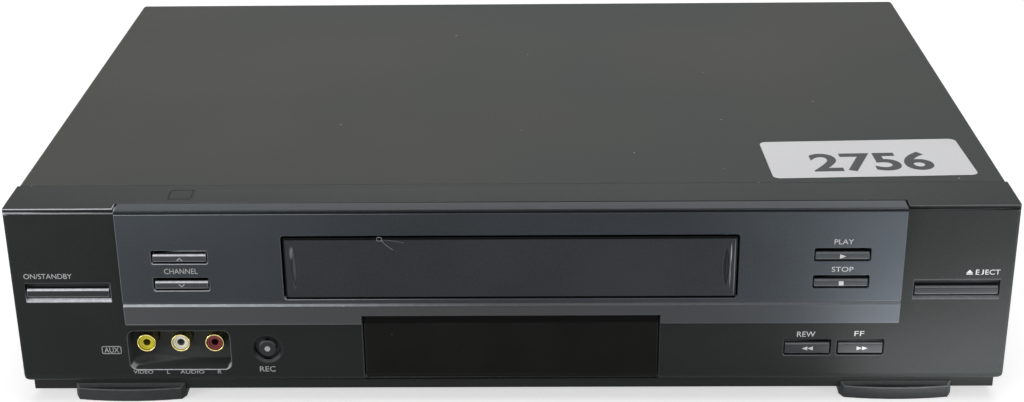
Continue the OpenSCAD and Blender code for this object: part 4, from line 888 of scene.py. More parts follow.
class Palette:
    """Makes each finish once and hands its material out by name."""

    def __init__(self) -> None:
        """Writes down every finish with its colours as the screen shows them."""
        low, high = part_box("power_transformer")
        middle = (low.y + high.y) / 2
        face, fascia = (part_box(node)[0].y for node in ("front_bezel", "centre_fascia"))
        window_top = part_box("display_window")[1].z - 3.6 * MM
        record_key = (-0.1065, 0.0279, 0.009)
        self.recipes: dict[Finish, Recipe] = {
            Finish.COVER: PaintedSheet("cover_paint", (77, 79, 78), specular=0.02),
            Finish.PAN: PaintedSheet("pan_paint", (42, 43, 43), roughness=0.55, specular=0.1, specks=0.1),
            Finish.BEZEL: BezelMoulding(
                "bezel_moulding", (38, 40, 40), (205, 208, 212), 0.42, 0.06, dust=0.012, face_y=face,
                bay=(-0.169, -0.121), highlight_fade=(-0.15, 0.02, 0.2), weak_highlight_spot=record_key),
            Finish.FASCIA: FasciaMoulding(
                "fascia_moulding", (54, 58, 62), (190, 194, 200), 0.4, 0.07, dust=0.02, end_sheen=0.3,
                face_y=fascia, highlight_fade=(-0.16, 0.0, 0.12)),
            Finish.DOOR: DoorMoulding(
                "door_moulding", (50, 53, 56), (112, 116, 118), 0.42, 0.08, dust=0.02, face_y=fascia),
            Finish.WINDOW: SmokedWindow("smoked_window", (21, 21, 20), (70, 72, 72), window_top),
            Finish.BUTTON: KeyMoulding(
                "button_moulding", (58, 61, 64), (232, 235, 240), 0.36, 0.2, shaded_tops=True,
                highlight_fade=(-0.13, 0.06, 0.14), weak_highlight_spot=record_key),
            Finish.FOOT: Moulding("foot_moulding", (55, 57, 58), (98, 101, 102), 0.5, 0.12, dust=0.05),
            Finish.BOARD_GREEN: PrintedBoard("green_board", (34, 82, 48), (50, 112, 62)),
            Finish.BOARD_TAN: PrintedBoard("tan_board", (138, 104, 62), (164, 128, 80)),
            Finish.INSULATOR: Moulding("insulator", (27, 27, 28), (54, 54, 54), 0.48, 0.35, 0.05),
            Finish.TUBE: TubeGlass("display_glass", (30, 40, 37), (62, 84, 76)),
            Finish.GOLD: GoldPlating("gold_plating", (236, 220, 148), (188, 168, 104)),
            Finish.YELLOW: JackInsert("yellow_insert", (206, 196, 30), -0.16),
            Finish.WHITE: JackInsert("white_insert", (226, 224, 210), -0.145),
            Finish.RED: JackInsert("red_insert", (120, 33, 38), -0.13),
            Finish.ZINC: PlatedSheet("plated_sheet", (176, 178, 176), (138, 136, 128)),
            Finish.TURNED: TurnedMetal("turned_metal", (190, 192, 194)),
            Finish.WINDING: WoundCore("wound_core", (186, 146, 44), (92, 94, 96), middle, 0.02),
            Finish.CAPACITOR: ShrinkSleeve("shrink_sleeve", (22, 26, 40), (120, 124, 132), (176, 178, 180)),
            Finish.NYLON: Moulding("natural_nylon", (206, 200, 182), (222, 218, 206), 0.42, 0.4, 0.03),
            Finish.DARK_NYLON: Moulding("dark_nylon", (54, 56, 58), (96, 98, 100), 0.45, 0.35),
            Finish.RUBBER: SoftRubber("soft_rubber", (32, 32, 33)),
        }
        self.made: dict[Finish, bpy.types.Material] = {}
        self.ink = Ink("pale_ink", (164, 166, 167), (80, 84, 86)).material()
        self.digits = Ink("dark_ink", (34, 36, 38), (66, 67, 68), 0.2, 0.3).material()
        self.paper = LabelPaper("label_paper", (214, 214, 216)).material()

    def of(self, finish: Finish) -> bpy.types.Material:
        """The material of a finish, made at its first use."""
        if finish not in self.made:
            self.made[finish] = self.recipes[finish].material()
        return self.made[finish]


# ---------------------------------------------------------------- pieces
def link(thing: bpy.types.Object) -> bpy.types.Object:
    """Puts an object in the scene and hands it back."""
    bpy.context.scene.collection.objects.link(thing)
    return thing


@dataclass
class Workshop:
    """The frame, its palette and the ways in which a piece is finished and put in the scene."""

    nodes: dict[str, bpy.types.Object]
    palette: Palette
    front: float
    body_of: dict[str, str]
    merge: float = 2e-6
    flat_angle: float = 0.5
    smooth_angle: float = 48.0
    room: float = 2.4

    def at(self, x: float, y: float, z: float) -> Array:
        """A point in metres from millimetres across, behind the front face and above the feet."""
        return np.array([x * MM, self.front + y * MM, z * MM])

    def dress(self, finish: Finish, *names: str) -> None:
        """Gives CAD nodes that stay in view their material.

        Args:
            finish: The finish they share.
            names: The nodes.
        """
        for name in names:
            node = self.nodes[name]
            if not node.material_slots:
                node.data.materials.append(self.palette.of(finish))
            for held in node.material_slots:
                held.material = self.palette.of(finish)
            LOG.info("%s keeps its CAD form in %s", name, finish.value)

    def ease(self, finish: Finish, *names: str, widths: Sequence[float], sharp: float = 34.0) -> None:
        """Replaces CAD nodes by copies whose sharp outer edges are rounded.

        The copy's loose triangles are merged and its flat faces joined. Each convex edge sharper
        than the angle, and with faces that reach far enough on both sides, becomes an arc of the
        given width; what is still sharp gets the next, smaller width.

        Args:
            finish: The finish they share.
            names: The nodes.
            widths: Widths of the rounding in millimetres, the widest first.
            sharp: The angle in degrees between two faces from which an edge is rounded.
        """
        for name in names:
            shape = bmesh.new()
            shape.from_mesh(self.nodes[name].data)
            bmesh.ops.remove_doubles(shape, verts=shape.verts, dist=self.merge)
            bmesh.ops.dissolve_limit(shape, angle_limit=math.radians(self.flat_angle), verts=shape.verts,
                                     edges=shape.edges)
            worn = shape.faces.layers.float.new("worn")
            for width in widths:
                edges = [edge for edge in shape.edges
                         if self._roomy(edge, width * MM, math.radians(sharp), worn)]
                if edges:
                    made = bmesh.ops.bevel(
                        shape, geom=edges, offset=width * MM, offset_type="OFFSET", segments=2,
                        profile=0.5, affect="EDGES", clamp_overlap=False, loop_slide=True)
                    for face in made["faces"]:
                        face[worn] = 1.0
            mesh = bpy.data.meshes.new(f"{name}_eased")
            self._pour(shape, mesh)
            mesh.shade_smooth()
            mesh.set_sharp_from_angle(angle=math.radians(self.smooth_angle))
            piece = self.place(mesh, self.body_of[name], finish.value, self.palette.of(finish))
            piece.modifiers.new("even_shading", "WEIGHTED_NORMAL").keep_sharp = True
            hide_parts(name)

    def _roomy(self, edge: bmesh.types.BMEdge, width: float, sharp: float, worn: Any) -> bool:
        """Whether an edge is sharp, convex and has room for a rounding of a width on both its faces.

        Args:
            edge: The edge.
            width: The width in metres.
            sharp: The angle in radians from which it counts as sharp.
            worn: The layer that marks faces already made by a rounding.

        Returns:
            True where it can be rounded.
        """
        if not edge.is_manifold or not edge.is_convex or edge.calc_face_angle(0.0) < sharp:
            return False
        if any(face[worn] for face in edge.link_faces):
            return False
        start = edge.verts[0].co
        along = (edge.verts[1].co - start).normalized()
        return all(max(((v.co - start) - along * along.dot(v.co - start)).length for v in face.verts)
                   > self.room * width for face in edge.link_faces)

    @staticmethod
    def _pour(shape: bmesh.types.BMesh, mesh: bpy.types.Mesh) -> None:
        """Turns a working mesh's faces outwards, writes it into a mesh and frees it.

        Args:
            shape: The working mesh.
            mesh: The mesh that it goes into.
        """
        bmesh.ops.recalc_face_normals(shape, faces=shape.faces)
        shape.to_mesh(mesh)
        shape.free()

    def place(self, mesh: bpy.types.Mesh, body: str, slot: str,
              material: bpy.types.Material) -> bpy.types.Object:
        """Puts a mesh in the scene as a piece that rides on a body.

        Args:
            mesh: The mesh, already in its place.
            body: The CAD body that carries it.
            slot: The record's slot that its finish comes from; not used.
            material: Its material.

        Returns:
            The piece.
        """
        piece = link(bpy.data.objects.new(mesh.name, mesh))
        mesh.materials.append(material)
        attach(piece, body)
        LOG.info("%s made with %d faces on %s", piece.name, len(mesh.polygons), body)
        return piece

    def grid(self, name: str, points: Array) -> bpy.types.Mesh:
        """Makes a mesh of a grid of points whose columns run round, with a pole at each end.

        Args:
            name: The mesh's name.
            points: Rows by columns by three, where the first and last rows are single points.

        Returns:
            The mesh, of quads between the rows and triangles at the poles.
        """
        rows, columns = points.shape[:2]
        inner = points[1:-1].reshape(-1, 3)
        vertices = np.vstack([inner, points[0, :1], points[-1, :1]])
        first = np.arange(columns)
        after = (first + 1) % columns
        base = (np.arange(rows - 3) * columns)[:, None]
        quads = np.stack([base + first, base + after, base + columns + after, base + columns + first], -1)
        last = (rows - 3) * columns
        start = np.stack([np.full_like(first, len(inner)), after, first], -1)
        finish = np.stack([np.full_like(first, len(inner) + 1), last + first, last + after], -1)
        mesh = bpy.data.meshes.new(name)
        mesh.from_pydata(vertices.tolist(), [],
                         quads.reshape(-1, 4).tolist() + start.tolist() + finish.tolist())
        shape = bmesh.new()
        shape.from_mesh(mesh)
        self._pour(shape, mesh)
        return mesh


# ---------------------------------------------------------------- printing
class Facing(Enum):
    """The side that a printed mark looks out from."""

    FRONT = ((1.0, 0.0, 0.0), (0.0, 0.0, 1.0), (0.0, -1.0, 0.0))
    TOP = ((1.0, 0.0, 0.0), (0.0, 1.0, 0.0), (0.0, 0.0, 1.0))
    BACK = ((-1.0, 0.0, 0.0), (0.0, 0.0, 1.0), (0.0, 1.0, 0.0))

    def lay(self, flat: Array, origin: Array) -> Array:
        """Carries points given across, up and out onto the side: origin plus each times its direction."""
        return origin + flat @ np.array(self.value)


@dataclass(frozen=True)
class Word:
    """Printed words, in millimetres: where they start and end, their middle height and capitals' height.

    depth is how far they lie behind the front face, or above the feet on the top.
    """

    text: str
    start: float
    end: float
    middle: float
    tall: float
    depth: float
    heavy: float = 0.0


def spun(turn: float) -> Array:
    """The matrix that turns rows of points by an angle in radians about the third direction."""
    return np.array([[math.cos(turn), math.sin(turn), 0], [-math.sin(turn), math.cos(turn), 0], [0, 0, 1]])


@dataclass
class Printing:
    """Marks printed on the recorder, as thin closed slabs that stand just proud of their face."""

    shop: Workshop
    proud: float = 0.03 * MM
    sunk: float = 0.02 * MM

    def word(self, mark: Word, name: str, facing: Facing = Facing.FRONT,
             ink: bpy.types.Material | None = None, turn: float = 0.0) -> None:
        """Prints words: the built-in letters, stretched to the mark's width and height.

        Args:
            mark: The words and their place.
            name: The piece's name.
            facing: The side they look out from.
            ink: Their material, or the pale ink.
            turn: How far they are turned about their middle, in radians.
        """
        curve = bpy.data.curves.new(name, "FONT")
        curve.body, curve.size, curve.offset = mark.text, 1.0, mark.heavy
        curve.extrude, curve.resolution_u = 0.5, 5
        holder = link(bpy.data.objects.new(name, curve))
        bpy.context.view_layer.update()
        mesh = bpy.data.meshes.new_from_object(holder.evaluated_get(bpy.context.evaluated_depsgraph_get()))
        bpy.data.objects.remove(holder)
        bpy.data.curves.remove(curve)
        mesh.name = name
        flat = np.zeros(len(mesh.vertices) * 3)
        mesh.vertices.foreach_get("co", flat)
        flat = flat.reshape(-1, 3)
        low, high = flat.min(0), flat.max(0)
        share = (flat - low) / (high - low) - np.array([0.5, 0.5, 0.0])
        flat = share * np.array([(mark.end - mark.start) * MM, mark.tall * MM, self.proud + self.sunk])
        flat[:, 2] -= self.sunk
        middle = (mark.start + mark.end) / 2
        origin = (self.shop.at(middle, mark.depth, mark.middle) if facing is not Facing.TOP
                  else self.shop.at(middle, mark.middle, mark.depth))
        mesh.vertices.foreach_set("co", facing.lay(flat @ spun(turn), origin).ravel())
        mesh.update()
        mesh.materials.clear()
        self.shop.place(mesh, "case", PRINT_SLOT, ink or self.shop.palette.ink)

    def shape(self, name: str, outline: Array, depth: float, body: str = "case",
              hole: Array | None = None) -> None:
        """Prints a plain figure on the front: its outline pushed through the ink's thickness.

        Each pair of loops, numbered outline out and in, hole out and in, is joined by quads.

        Args:
            name: The piece's name.
            outline: Points across and up, in millimetres, counterclockwise seen from outside.
            depth: How far behind the front face it lies.
            body: The CAD body that carries it.
            hole: An inner outline of as many points, for a ring.
        """
        count = len(outline)
        loops = [outline] if hole is None else [outline, hole]
        flat = np.vstack([np.column_stack([loop * MM, np.full(count, out)])
                          for loop in loops for out in (self.proud, -self.sunk)])
        this = np.arange(count)
        after = (this + 1) % count
        pairs = ((1, 0),) if hole is None else ((1, 0), (2, 3), (0, 2), (3, 1))
        quads = [np.stack([this + one, after + one, after + two, this + two], -1)
                 for one, two in np.array(pairs) * count]
        caps = [this.tolist(), (this[::-1] + count).tolist()] if hole is None else []
        mesh = bpy.data.meshes.new(name)
        points = Facing.FRONT.lay(flat, self.shop.at(0, depth, 0))
        mesh.from_pydata(points.tolist(), [], np.vstack(quads).tolist() + caps)
        self.shop.place(mesh, body, PRINT_SLOT, self.shop.palette.ink)


def rounded(width: float, height: float, radius: float, steps: int = 6) -> Array:
    """A rectangle's outline with round corners, each a quarter of a circle.

    Args:
        width: Its width.
        height: Its height.
        radius: The corners' radius.
        steps: Points in each corner, less one.

    Returns:
        Points across and up round the middle, counterclockwise.
    """
    half = np.array([width / 2 - radius, height / 2 - radius])
    corner = np.array([[1, 1], [-1, 1], [-1, -1], [1, -1]]) * half
    angle = (np.arange(4)[:, None] + np.linspace(0, 1, steps + 1)[None, :]) * (math.pi / 2)
    arc = radius * np.stack([np.cos(angle), np.sin(angle)], -1)
    return (corner[:, None, :] + arc).reshape(-1, 2)


def circle(radius: float, count: int = 32) -> Array:
    """A circle's outline of a radius: the cosine and the sine of evenly spaced angles."""
    angle = np.linspace(0, 2 * math.pi, count, endpoint=False)
    return radius * np.stack([np.cos(angle), np.sin(angle)], -1)


class Figure(Enum):
    """Plain figures on the front and the caps: points across and up from their middle, in millimetres."""

    RISE = ((-1.4, -0.75), (-1.05, -0.95), (0.0, 0.1), (1.05, -0.95), (1.4, -0.75), (0.0, 0.65))
    FALL = ((0.0, -0.65), (1.4, 0.75), (1.05, 0.95), (0.0, -0.1), (-1.05, 0.95), (-1.4, 0.75))
    POINT = ((-1.25, -1.1), (1.35, 0.0), (-1.25, 1.1))
    SQUARE = ((-1.0, -1.0), (1.0, -1.0), (1.0, 1.0), (-1.0, 1.0))
    AHEAD = ((-1.15, -0.95), (1.25, 0.0), (-1.15, 0.95))
    BACK = ((1.15, 0.95), (-1.25, 0.0), (1.15, -0.95))
    PEAK = ((-1.35, -0.35), (1.35, -0.35), (0.0, 1.15))
    BAR = ((-1.35, -1.1), (1.35, -1.1), (1.35, -0.6), (-1.35, -0.6))

    def at(self, x: float, z: float) -> Array:
        """Its outline about a place."""
        return np.array(self.value) + np.array([x, z])


# ---------------------------------------------------------------- the recorder
@dataclass
class Casework:
    """Cover, bezel, base pan, rear panel, screws and feet."""

    shop: Workshop
    rear_marks: tuple[Word, ...] = (
        Word("IN", -114.6, -109.4, 34.5, 2.6, 289.4), Word("OUT", -57.6, -50.4, 34.5, 2.6, 289.4),
        Word("AUDIO", 10.5, 20.5, 31.8, 2.3, 289.4), Word("L", 7.3, 8.7, 17.2, 2.3, 289.4),
        Word("R", 22.2, 23.8, 17.2, 2.3, 289.4), Word("AERIAL", -183.4, -172.6, 45.4, 2.3, 289.4),
        Word("MAINS", 181.5, 190.5, 31.4, 2.3, 289.4))

    def build(self) -> None:
        """Eases the outer pieces and leaves the hidden fixings as they are."""
        self.shop.ease(Finish.COVER, "top_cover", widths=(0.3,))
        self.shop.ease(Finish.BEZEL, "front_bezel", widths=(0.35, 0.18))
        self.shop.ease(Finish.FOOT, "front_feet", widths=(0.6, 0.3))
        self.shop.ease(Finish.FOOT, "rear_feet", widths=(0.5,))
        self.shop.dress(Finish.PAN, "bottom_pan", "rear_panel")
        self.shop.dress(Finish.ZINC, "case_screws")

    def dress(self) -> None:
        """Prints the plain names of the rear sockets."""
        printing = Printing(self.shop)
        for mark in self.rear_marks:
            printing.word(mark, f"rear_mark_{mark.text.lower()}", Facing.BACK)


@dataclass
class FrontPanel:
    """Fascia, hinged door, window and the printing round the jacks and keys."""

    shop: Workshop
    fascia_depth: float = -3.0
    box_at: Pair = (-174.8, 27.6)
    box_outer: Triple = (8.6, 3.8, 0.9)
    box_inner: Triple = (8.0, 3.2, 0.6)
    sign_at: Pair = (195.8, 63.8)
    curl_at: Pair = (-55.2, 81.9)
    curl_size: Pair = (1.1, 0.9)
    trail_size: Pair = (4.6, 4.9)
    fine_at: Pair = (-53.4, 81.4)
    fine_size: Pair = (8.6, 1.4)
    radii: Pair = (0.075, 0.04)
    off_face: float = 0.05
    marks: tuple[Word, ...] = (
        Word("ON/STANDBY", -209.2, -188.4, 63.45, 2.4, 0.0), Word("E", 198.4, 199.9, 63.8, 2.3, 0.0),
        Word("J", 200.5, 201.75, 63.8, 2.3, 0.0), Word("ECT", 202.45, 208.8, 63.8, 2.3, 0.0),
        Word("CHANNEL", -147.7, -133.3, 67.1, 2.5, -3.0), Word("PLAY", 136.9, 145.0, 79.7, 2.3, -3.0),
        Word("STOP", 136.5, 145.7, 66.85, 2.3, -3.0), Word("REW", 124.0, 131.9, 34.3, 2.5, 0.0),
        Word("FF", 148.8, 153.0, 34.5, 2.4, 0.0), Word("REC", -110.4, -103.5, 18.0, 2.6, 0.0),
        Word("VIDEO", -166.2, -157.6, 16.7, 1.75, 0.0), Word("L", -151.4, -150.2, 16.65, 1.75, 0.0),
        Word("AUDIO", -145.6, -135.0, 16.65, 1.75, 0.0), Word("R", -129.0, -127.4, 16.65, 1.75, 0.0),
        Word("AUX", -178.0, -171.6, 27.6, 2.5, 0.0))

    def build(self) -> None:
        """Eases the three mouldings of the panel."""
        self.shop.ease(Finish.FASCIA, "centre_fascia", widths=(0.35, 0.16))
        self.shop.ease(Finish.DOOR, "cassette_door", widths=(0.3, 0.15))
        self.shop.ease(Finish.WINDOW, "display_window", widths=(0.25,))

    def dress(self) -> None:
        """Prints the words, the box round the spare input's name and the eject sign."""
        printing = Printing(self.shop)
        for mark in self.marks:
            printing.word(mark, "mark_" + mark.text.lower().replace("/", "_"))
        outer, inner = (rounded(*sizes) + np.array(self.box_at) for sizes in (self.box_outer, self.box_inner))
        printing.shape("mark_aux_box", outer, 0.0, hole=inner)
        printing.shape("mark_eject_peak", Figure.PEAK.at(*self.sign_at), 0.0)
        printing.shape("mark_eject_bar", Figure.BAR.at(*self.sign_at), 0.0)
        self.fibre()

    def fibre(self) -> None:
        """Lays a curled lint fibre and a finer straight one over the door's top edge.

        The first goes one and a half times round an oval, then trails: across by v^1.3 and down
        by v^0.85, with v from 0 to 1. The finer one sags by v squared.
        """
        t = np.linspace(0, 1, 56)
        turn = np.radians(150 - 520 * np.minimum(t / 0.5, 1))
        trail = np.clip((t - 0.5) / 0.5, 0, 1)
        (x, z), (wide, tall), (ahead, down) = self.curl_at, self.curl_size, self.trail_size
        self.strand("door_fibre", x + wide * np.cos(turn) + ahead * trail ** 1.3,
                    z + tall * np.sin(turn) - down * trail ** 0.85, self.radii[0])
        v = np.linspace(0, 1, 24)
        (x, z), (wide, tall) = self.fine_at, self.fine_size
        self.strand("door_fibre_fine", x + wide * v, z - tall * v ** 2, self.radii[1])

    def strand(self, name: str, x: Array, z: Array, radius: float) -> None:
        """Carries a circle along a curve just off the face.

        Each ring is the curve's point plus the circle along two directions square to its run.

        Args:
            name: The piece's name.
            x: The curve's places across, in millimetres.
            z: Its heights, in millimetres.
            radius: The fibre's radius, in millimetres.
        """
        lift = 0.15 * np.sin(math.pi * np.linspace(0, 1, len(x)))
        y = self.fascia_depth - self.off_face - 2 * radius - lift
        path = np.column_stack([x * MM, self.shop.front + y * MM, z * MM])
        run = np.gradient(path, axis=0)
        run /= np.linalg.norm(run, axis=1, keepdims=True)
        side = np.cross(run, np.array([0.0, 1.0, 0.0]))
        side /= np.linalg.norm(side, axis=1, keepdims=True)
        rise = np.cross(side, run)
        ring = circle(radius * MM, 8)
        rows = (path[:, None, :] + ring[None, :, :1] * side[:, None, :]
                + ring[None, :, 1:] * rise[:, None, :])
        ends = np.repeat(path[[0, -1], None, :], len(ring), axis=1)
        mesh = self.shop.grid(name, np.concatenate([ends[:1], rows, ends[1:]]))
        mesh.shade_smooth()
        self.shop.place(mesh, "door", PRINT_SLOT, self.shop.palette.ink)


@dataclass
class KeySet:
    """The nine keys with the plain symbols on their caps, each with its place across and up."""

    shop: Workshop
    side_face: float = -2.7
    low_face: float = 0.2
    side_signs: tuple[tuple[str, Figure, float, float, str], ...] = (
        ("up", Figure.RISE, -140.75, 72.7, "channel_up_key"),
        ("down", Figure.FALL, -140.75, 60.0, "channel_down_key"),
        ("play_sign", Figure.POINT, 140.95, 72.75, "play_key"),
        ("stop_sign", Figure.SQUARE, 140.95, 60.1, "stop_key"))
    low_signs: tuple[tuple[str, Figure, float, float, str], ...] = (
        ("rewind_a", Figure.BACK, 127.7, 27.2, "rewind_key"),
        ("forward_a", Figure.AHEAD, 151.4, 27.2, "forward_key"),
        ("rewind_b", Figure.BACK, 130.1, 27.2, "rewind_key"),
        ("forward_b", Figure.AHEAD, 153.8, 27.2, "forward_key"))
    dot_at: Pair = (-106.5, 27.9)
    dot_radius: float = 1.25
    dot_face: float = 0.03

    def build(self) -> None:
        """Eases the key caps."""
        names = ("power", "eject", "channel_up", "channel_down", "play", "stop", "rewind", "fast_forward")
        self.shop.ease(Finish.BUTTON, *(f"{name}_button" for name in names), widths=(0.25, 0.12))
        self.shop.ease(Finish.BUTTON, "record_button", widths=(0.2,), sharp=50.0)

    def dress(self) -> None:
        """Prints chevrons, a triangle, a square, double arrows and a dot on the caps."""
        printing = Printing(self.shop)
        for signs, face in ((self.side_signs, self.side_face), (self.low_signs, self.low_face)):
            for name, figure, x, z, body in signs:
                printing.shape(f"mark_{name}", figure.at(x, z), face, body)
        dot = circle(self.dot_radius) + np.array(self.dot_at)
        printing.shape("mark_record_dot", dot, self.dot_face, "record_key")


@dataclass
class Sockets:
    """Front jack bay, rear sockets and inlet."""

    shop: Workshop

    def build(self) -> None:
        """Gives the metal and moulded parts of each socket their finish."""
        self.shop.dress(Finish.INSULATOR, "jack_block", "scart_socket_in", "scart_socket_out",
                        "rear_phono_block", "mains_inlet")
        self.shop.dress(Finish.YELLOW, "video_jack_insert")
        self.shop.dress(Finish.WHITE, "left_jack_insert")
        self.shop.dress(Finish.RED, "right_jack_insert")
        self.shop.ease(Finish.GOLD, "jack_sleeves", "rear_phono_sleeves", widths=())
        self.shop.ease(Finish.TURNED, "aerial_sockets", widths=(0.15,), sharp=60.0)
        self.shop.dress(Finish.ZINC, "tuner_can")


@dataclass
class Boards:
    """Circuit boards and what stands on them."""

    shop: Workshop

    def build(self) -> None:
        """Dresses the boards, cans, sink and wound parts."""
        self.shop.dress(Finish.BOARD_GREEN, "main_board")
        self.shop.dress(Finish.BOARD_TAN, "power_board", "front_board")
        self.shop.dress(Finish.ZINC, "shield_can", "tact_switches")
        self.shop.dress(Finish.TUBE, "display_tube")
        self.shop.ease(Finish.CAPACITOR, "capacitors", widths=(0.35,), sharp=60.0)
        self.shop.dress(Finish.WINDING, "power_transformer")
        self.shop.dress(Finish.TURNED, "heat_sink")


@dataclass
class TapeDeck:
    """Deck plate, drums, heads, reels and the drive."""

    shop: Workshop

    def build(self) -> None:
        """Eases what turns and dresses the rest."""
        self.shop.dress(Finish.ZINC, "deck_plate", "carriage_frame", "cassette_holder", "lift_sliders",
                        "pinch_arm")
        self.shop.ease(Finish.TURNED, "lower_drum", "upper_drum", "capstan_rotor", "tape_guides",
                       widths=(0.2,), sharp=60.0)
        self.shop.dress(Finish.TURNED, "erase_head", "audio_head", "tension_arm")
        self.shop.dress(Finish.BOARD_GREEN, "capstan_motor")
        self.shop.ease(Finish.ZINC, "loading_motor", widths=(0.2,), sharp=60.0)
        self.shop.dress(Finish.NYLON, "lift_pinion")
        self.shop.dress(Finish.DARK_NYLON, "supply_reel", "takeup_reel")
        self.shop.dress(Finish.RUBBER, "drive_belt", "pinch_roller")


@dataclass
class LotLabel:
    """White sticker on the cover with four large plain digits, in millimetres."""

    shop: Workshop
    middle: Pair = (158.8, 52.6)
    width: float = 89.8
    depth: float = 43.0
    radius: float = 3.2
    thick: float = 0.09
    curl: float = 0.12
    turn: float = math.radians(2.0)
    digits: str = "2756"
    digits_width: float = 54.0
    digits_tall: float = 21.5
    digits_off: Pair = (1.5, -4.2)

    def build(self) -> None:
        """Lays the sheet.

        Each row of the grid is the rounded outline scaled about the middle and set at a height:
        out along the top, down over the rim and back along the underside. The corners lift by
        the curl, as the eighth power of the way out to them.
        """
        outline = rounded(self.width, self.depth, self.radius, 8)
        scale = np.array([0.0, 0.3, 0.6, 0.85, 0.95, 0.998, 1.0, 1.0, 0.9, 0.5, 0.0])
        height = np.array([1, 1, 1, 1, 1, 1, 0.8, 0.1, 0.1, 0.1, 0.1]) * self.thick
        reach = np.linalg.norm(outline / np.array([self.width / 2, self.depth / 2]), axis=1) / math.sqrt(2)
        lift = self.curl * (scale[:, None] * reach[None, :]) ** 8
        flat = scale[:, None, None] * outline[None, :, :] @ spun(self.turn)[:2, :2] + np.array(self.middle)
        points = np.empty((len(scale), len(outline), 3))
        points[..., 0] = flat[..., 0] * MM
        points[..., 1] = self.shop.front + flat[..., 1] * MM
        points[..., 2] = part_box("top_cover")[1].z + (height[:, None] + lift) * MM
        points[0] = points[0].mean(0)
        points[-1] = points[-1].mean(0)
        mesh = self.shop.grid("lot_label", points)
        self.shop.place(mesh, "case", PRINT_SLOT, self.shop.palette.paper)

    def dress(self) -> None:
        """Prints the digits a little right of the middle."""
        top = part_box("top_cover")[1].z / MM
        x, y = (place + off for place, off in zip(self.middle, self.digits_off))
        mark = Word(self.digits, x - self.digits_width / 2, x + self.digits_width / 2, y, self.digits_tall,
                    top + self.thick, heavy=0.025)
        Printing(self.shop).word(mark, "lot_digits", Facing.TOP, self.shop.palette.digits, self.turn)


# ---------------------------------------------------------------- studio
@dataclass(frozen=True)
class Lamp:
    """A soft square or oblong lamp: where it hangs, where it points, its size and its power."""

    name: str
    at: Triple
    to: Triple
    size: Pair
    watts: float


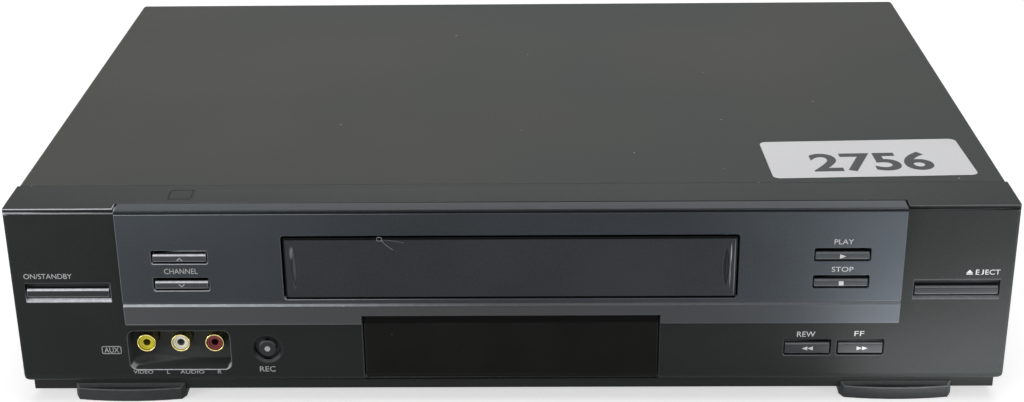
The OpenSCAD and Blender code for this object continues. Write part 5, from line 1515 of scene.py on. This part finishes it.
@dataclass
class Studio:
    """Camera, floor, world and lamps."""

    eye: Triple = (0.012391, -0.819882, 0.38908)
    lens: float = 61.309
    sensor: float = 36.0
    clip: Pair = (0.01, 50.0)
    yaw: float = 0.0168
    pitch: float = -0.4090
    roll: float = 0.0112
    floor_reach: float = 5.0
    floor_tone: Colour = (214, 214, 214)
    floor_glow: float = 0.55
    world_light: float = 0.12
    lamps: tuple[Lamp, ...] = (
        Lamp("overhead", (0.1, 0.0, 1.7), (0.0, 0.0, 0.05), (1.8, 1.2), 17.5),
        Lamp("front_fill", (0.0, -1.6, 0.9), (0.0, -0.15, 0.05), (1.2, 0.6), 5.0),
        Lamp("left_low", (-0.6, -0.5, 0.15), (-0.17, -0.15, 0.05), (0.3, 0.2), 2.0),
        Lamp("left_strip", (-0.62, -0.67, 1.1), (-0.1, -0.15, 0.05), (0.85, 0.12), 1.0),
        Lamp("right_near", (0.33, -0.27, 0.03), (0.19, -0.15, 0.03), (0.08, 0.05), 0.24),
        Lamp("right_card", (0.235, -0.195, 0.001), (0.235, -0.194, 0.5), (0.17, 0.07), 0.3),
        Lamp("rear_fill", (0.0, 1.6, 1.0), (0.0, 0.1, 0.05), (1.4, 0.8), 5.0))

    def camera(self) -> None:
        """Sets the camera at the photograph's place: turned by yaw, then pitch, then roll."""
        turned = (Matrix.Rotation(self.yaw, 3, "Z") @ Matrix.Rotation(self.pitch, 3, "X")
                  @ Matrix.Rotation(self.roll, 3, "Y"))
        right, ahead, up = turned.col[0], turned.col[1], turned.col[2]
        matrix = Matrix((right, up, -ahead)).transposed().to_4x4()
        matrix.translation = Vector(self.eye)
        data = bpy.data.cameras.new("photo_camera")
        data.lens, data.sensor_width, data.sensor_fit = self.lens, self.sensor, "HORIZONTAL"
        data.clip_start, data.clip_end = self.clip
        camera = link(bpy.data.objects.new("photo_camera", data))
        camera.matrix_world = matrix
        bpy.context.scene.camera = camera

    def floor(self) -> None:
        """Lays the pale floor, which shows white to the camera and in gloss but keeps the shadow."""
        material = bpy.data.materials.new("studio_floor")
        material.use_nodes = True
        net = Net(material.node_tree)
        seen = self._seen(net)
        pale = net.add("ShaderNodeBsdfPrincipled", {}, {
            "Base Color": linear(self.floor_tone), "Roughness": 0.9, "Specular IOR Level": 0.0})
        glow = net.add("ShaderNodeEmission", {}, {"Color": (1, 1, 1, 1), "Strength": seen * self.floor_glow})
        both = net.add("ShaderNodeAddShader", {}, {0: pale, 1: glow})
        net.add("ShaderNodeOutputMaterial", {}, {"Surface": both})
        mesh = bpy.data.meshes.new("studio_floor")
        corners = np.array([[-1, -1, 0], [1, -1, 0], [1, 1, 0], [-1, 1, 0]]) * self.floor_reach
        mesh.from_pydata(corners.tolist(), [], [[0, 1, 2, 3]])
        mesh.materials.append(material)
        floor = link(bpy.data.objects.new("studio_floor", mesh))

    def world(self) -> None:
        """Sets a white world for the camera and in gloss, and a soft grey one as light."""
        world = bpy.data.worlds.new("studio_world")
        world.use_nodes = True
        bpy.context.scene.world = world
        net = Net(world.node_tree)
        strength = self.world_light + self._seen(net) * (1 - self.world_light)
        ground = net.add("ShaderNodeBackground", {}, {"Color": (1, 1, 1, 1), "Strength": strength})
        net.add("ShaderNodeOutputWorld", {}, {"Surface": ground})

    @staticmethod
    def _seen(net: Net) -> Sock:
        """One for rays from the camera, off gloss and through glass, and zero for the rest."""
        camera, glossy, through = (net.add("ShaderNodeLightPath", {}, {}, f"Is {kind} Ray")
                                   for kind in ("Camera", "Glossy", "Transmission"))
        return camera.most(glossy).most(through)

    def light(self) -> None:
        """Hangs the lamps, points each at its mark and sets the plain view."""
        for lamp in self.lamps:
            data = bpy.data.lights.new(lamp.name, "AREA")
            data.shape, data.size, data.size_y, data.energy = "RECTANGLE", *lamp.size, lamp.watts
            held = link(bpy.data.objects.new(lamp.name, data))
            held.visible_camera = False
            aim = (Vector(lamp.to) - Vector(lamp.at)).to_track_quat("-Z", "Y").to_matrix().to_4x4()
            held.matrix_world = Matrix.Translation(lamp.at) @ aim
        bpy.context.scene.view_settings.view_transform = "Standard"

    def build(self) -> None:
        """Sets up the whole studio."""
        self.camera()
        self.floor()
        self.world()
        self.light()


def main() -> None:
    """Dresses the frame piece by piece."""
    logging.basicConfig(level=logging.INFO, format="%(message)s")
    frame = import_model()
    Studio().build()
    body_of = {node: body for body, nodes in frame["record"]["behaviour"]["bodies"].items() for node in nodes}
    shop = Workshop(frame["nodes"], Palette(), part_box("front_bezel")[0].y, body_of)
    case, panel, keys, label = Casework(shop), FrontPanel(shop), KeySet(shop), LotLabel(shop)
    for part in (case, panel, keys, Sockets(shop), Boards(shop), TapeDeck(shop), label):
        part.build()
    for part in (case, panel, keys, label):
        part.dress()


if __name__ == "__main__":
    main()
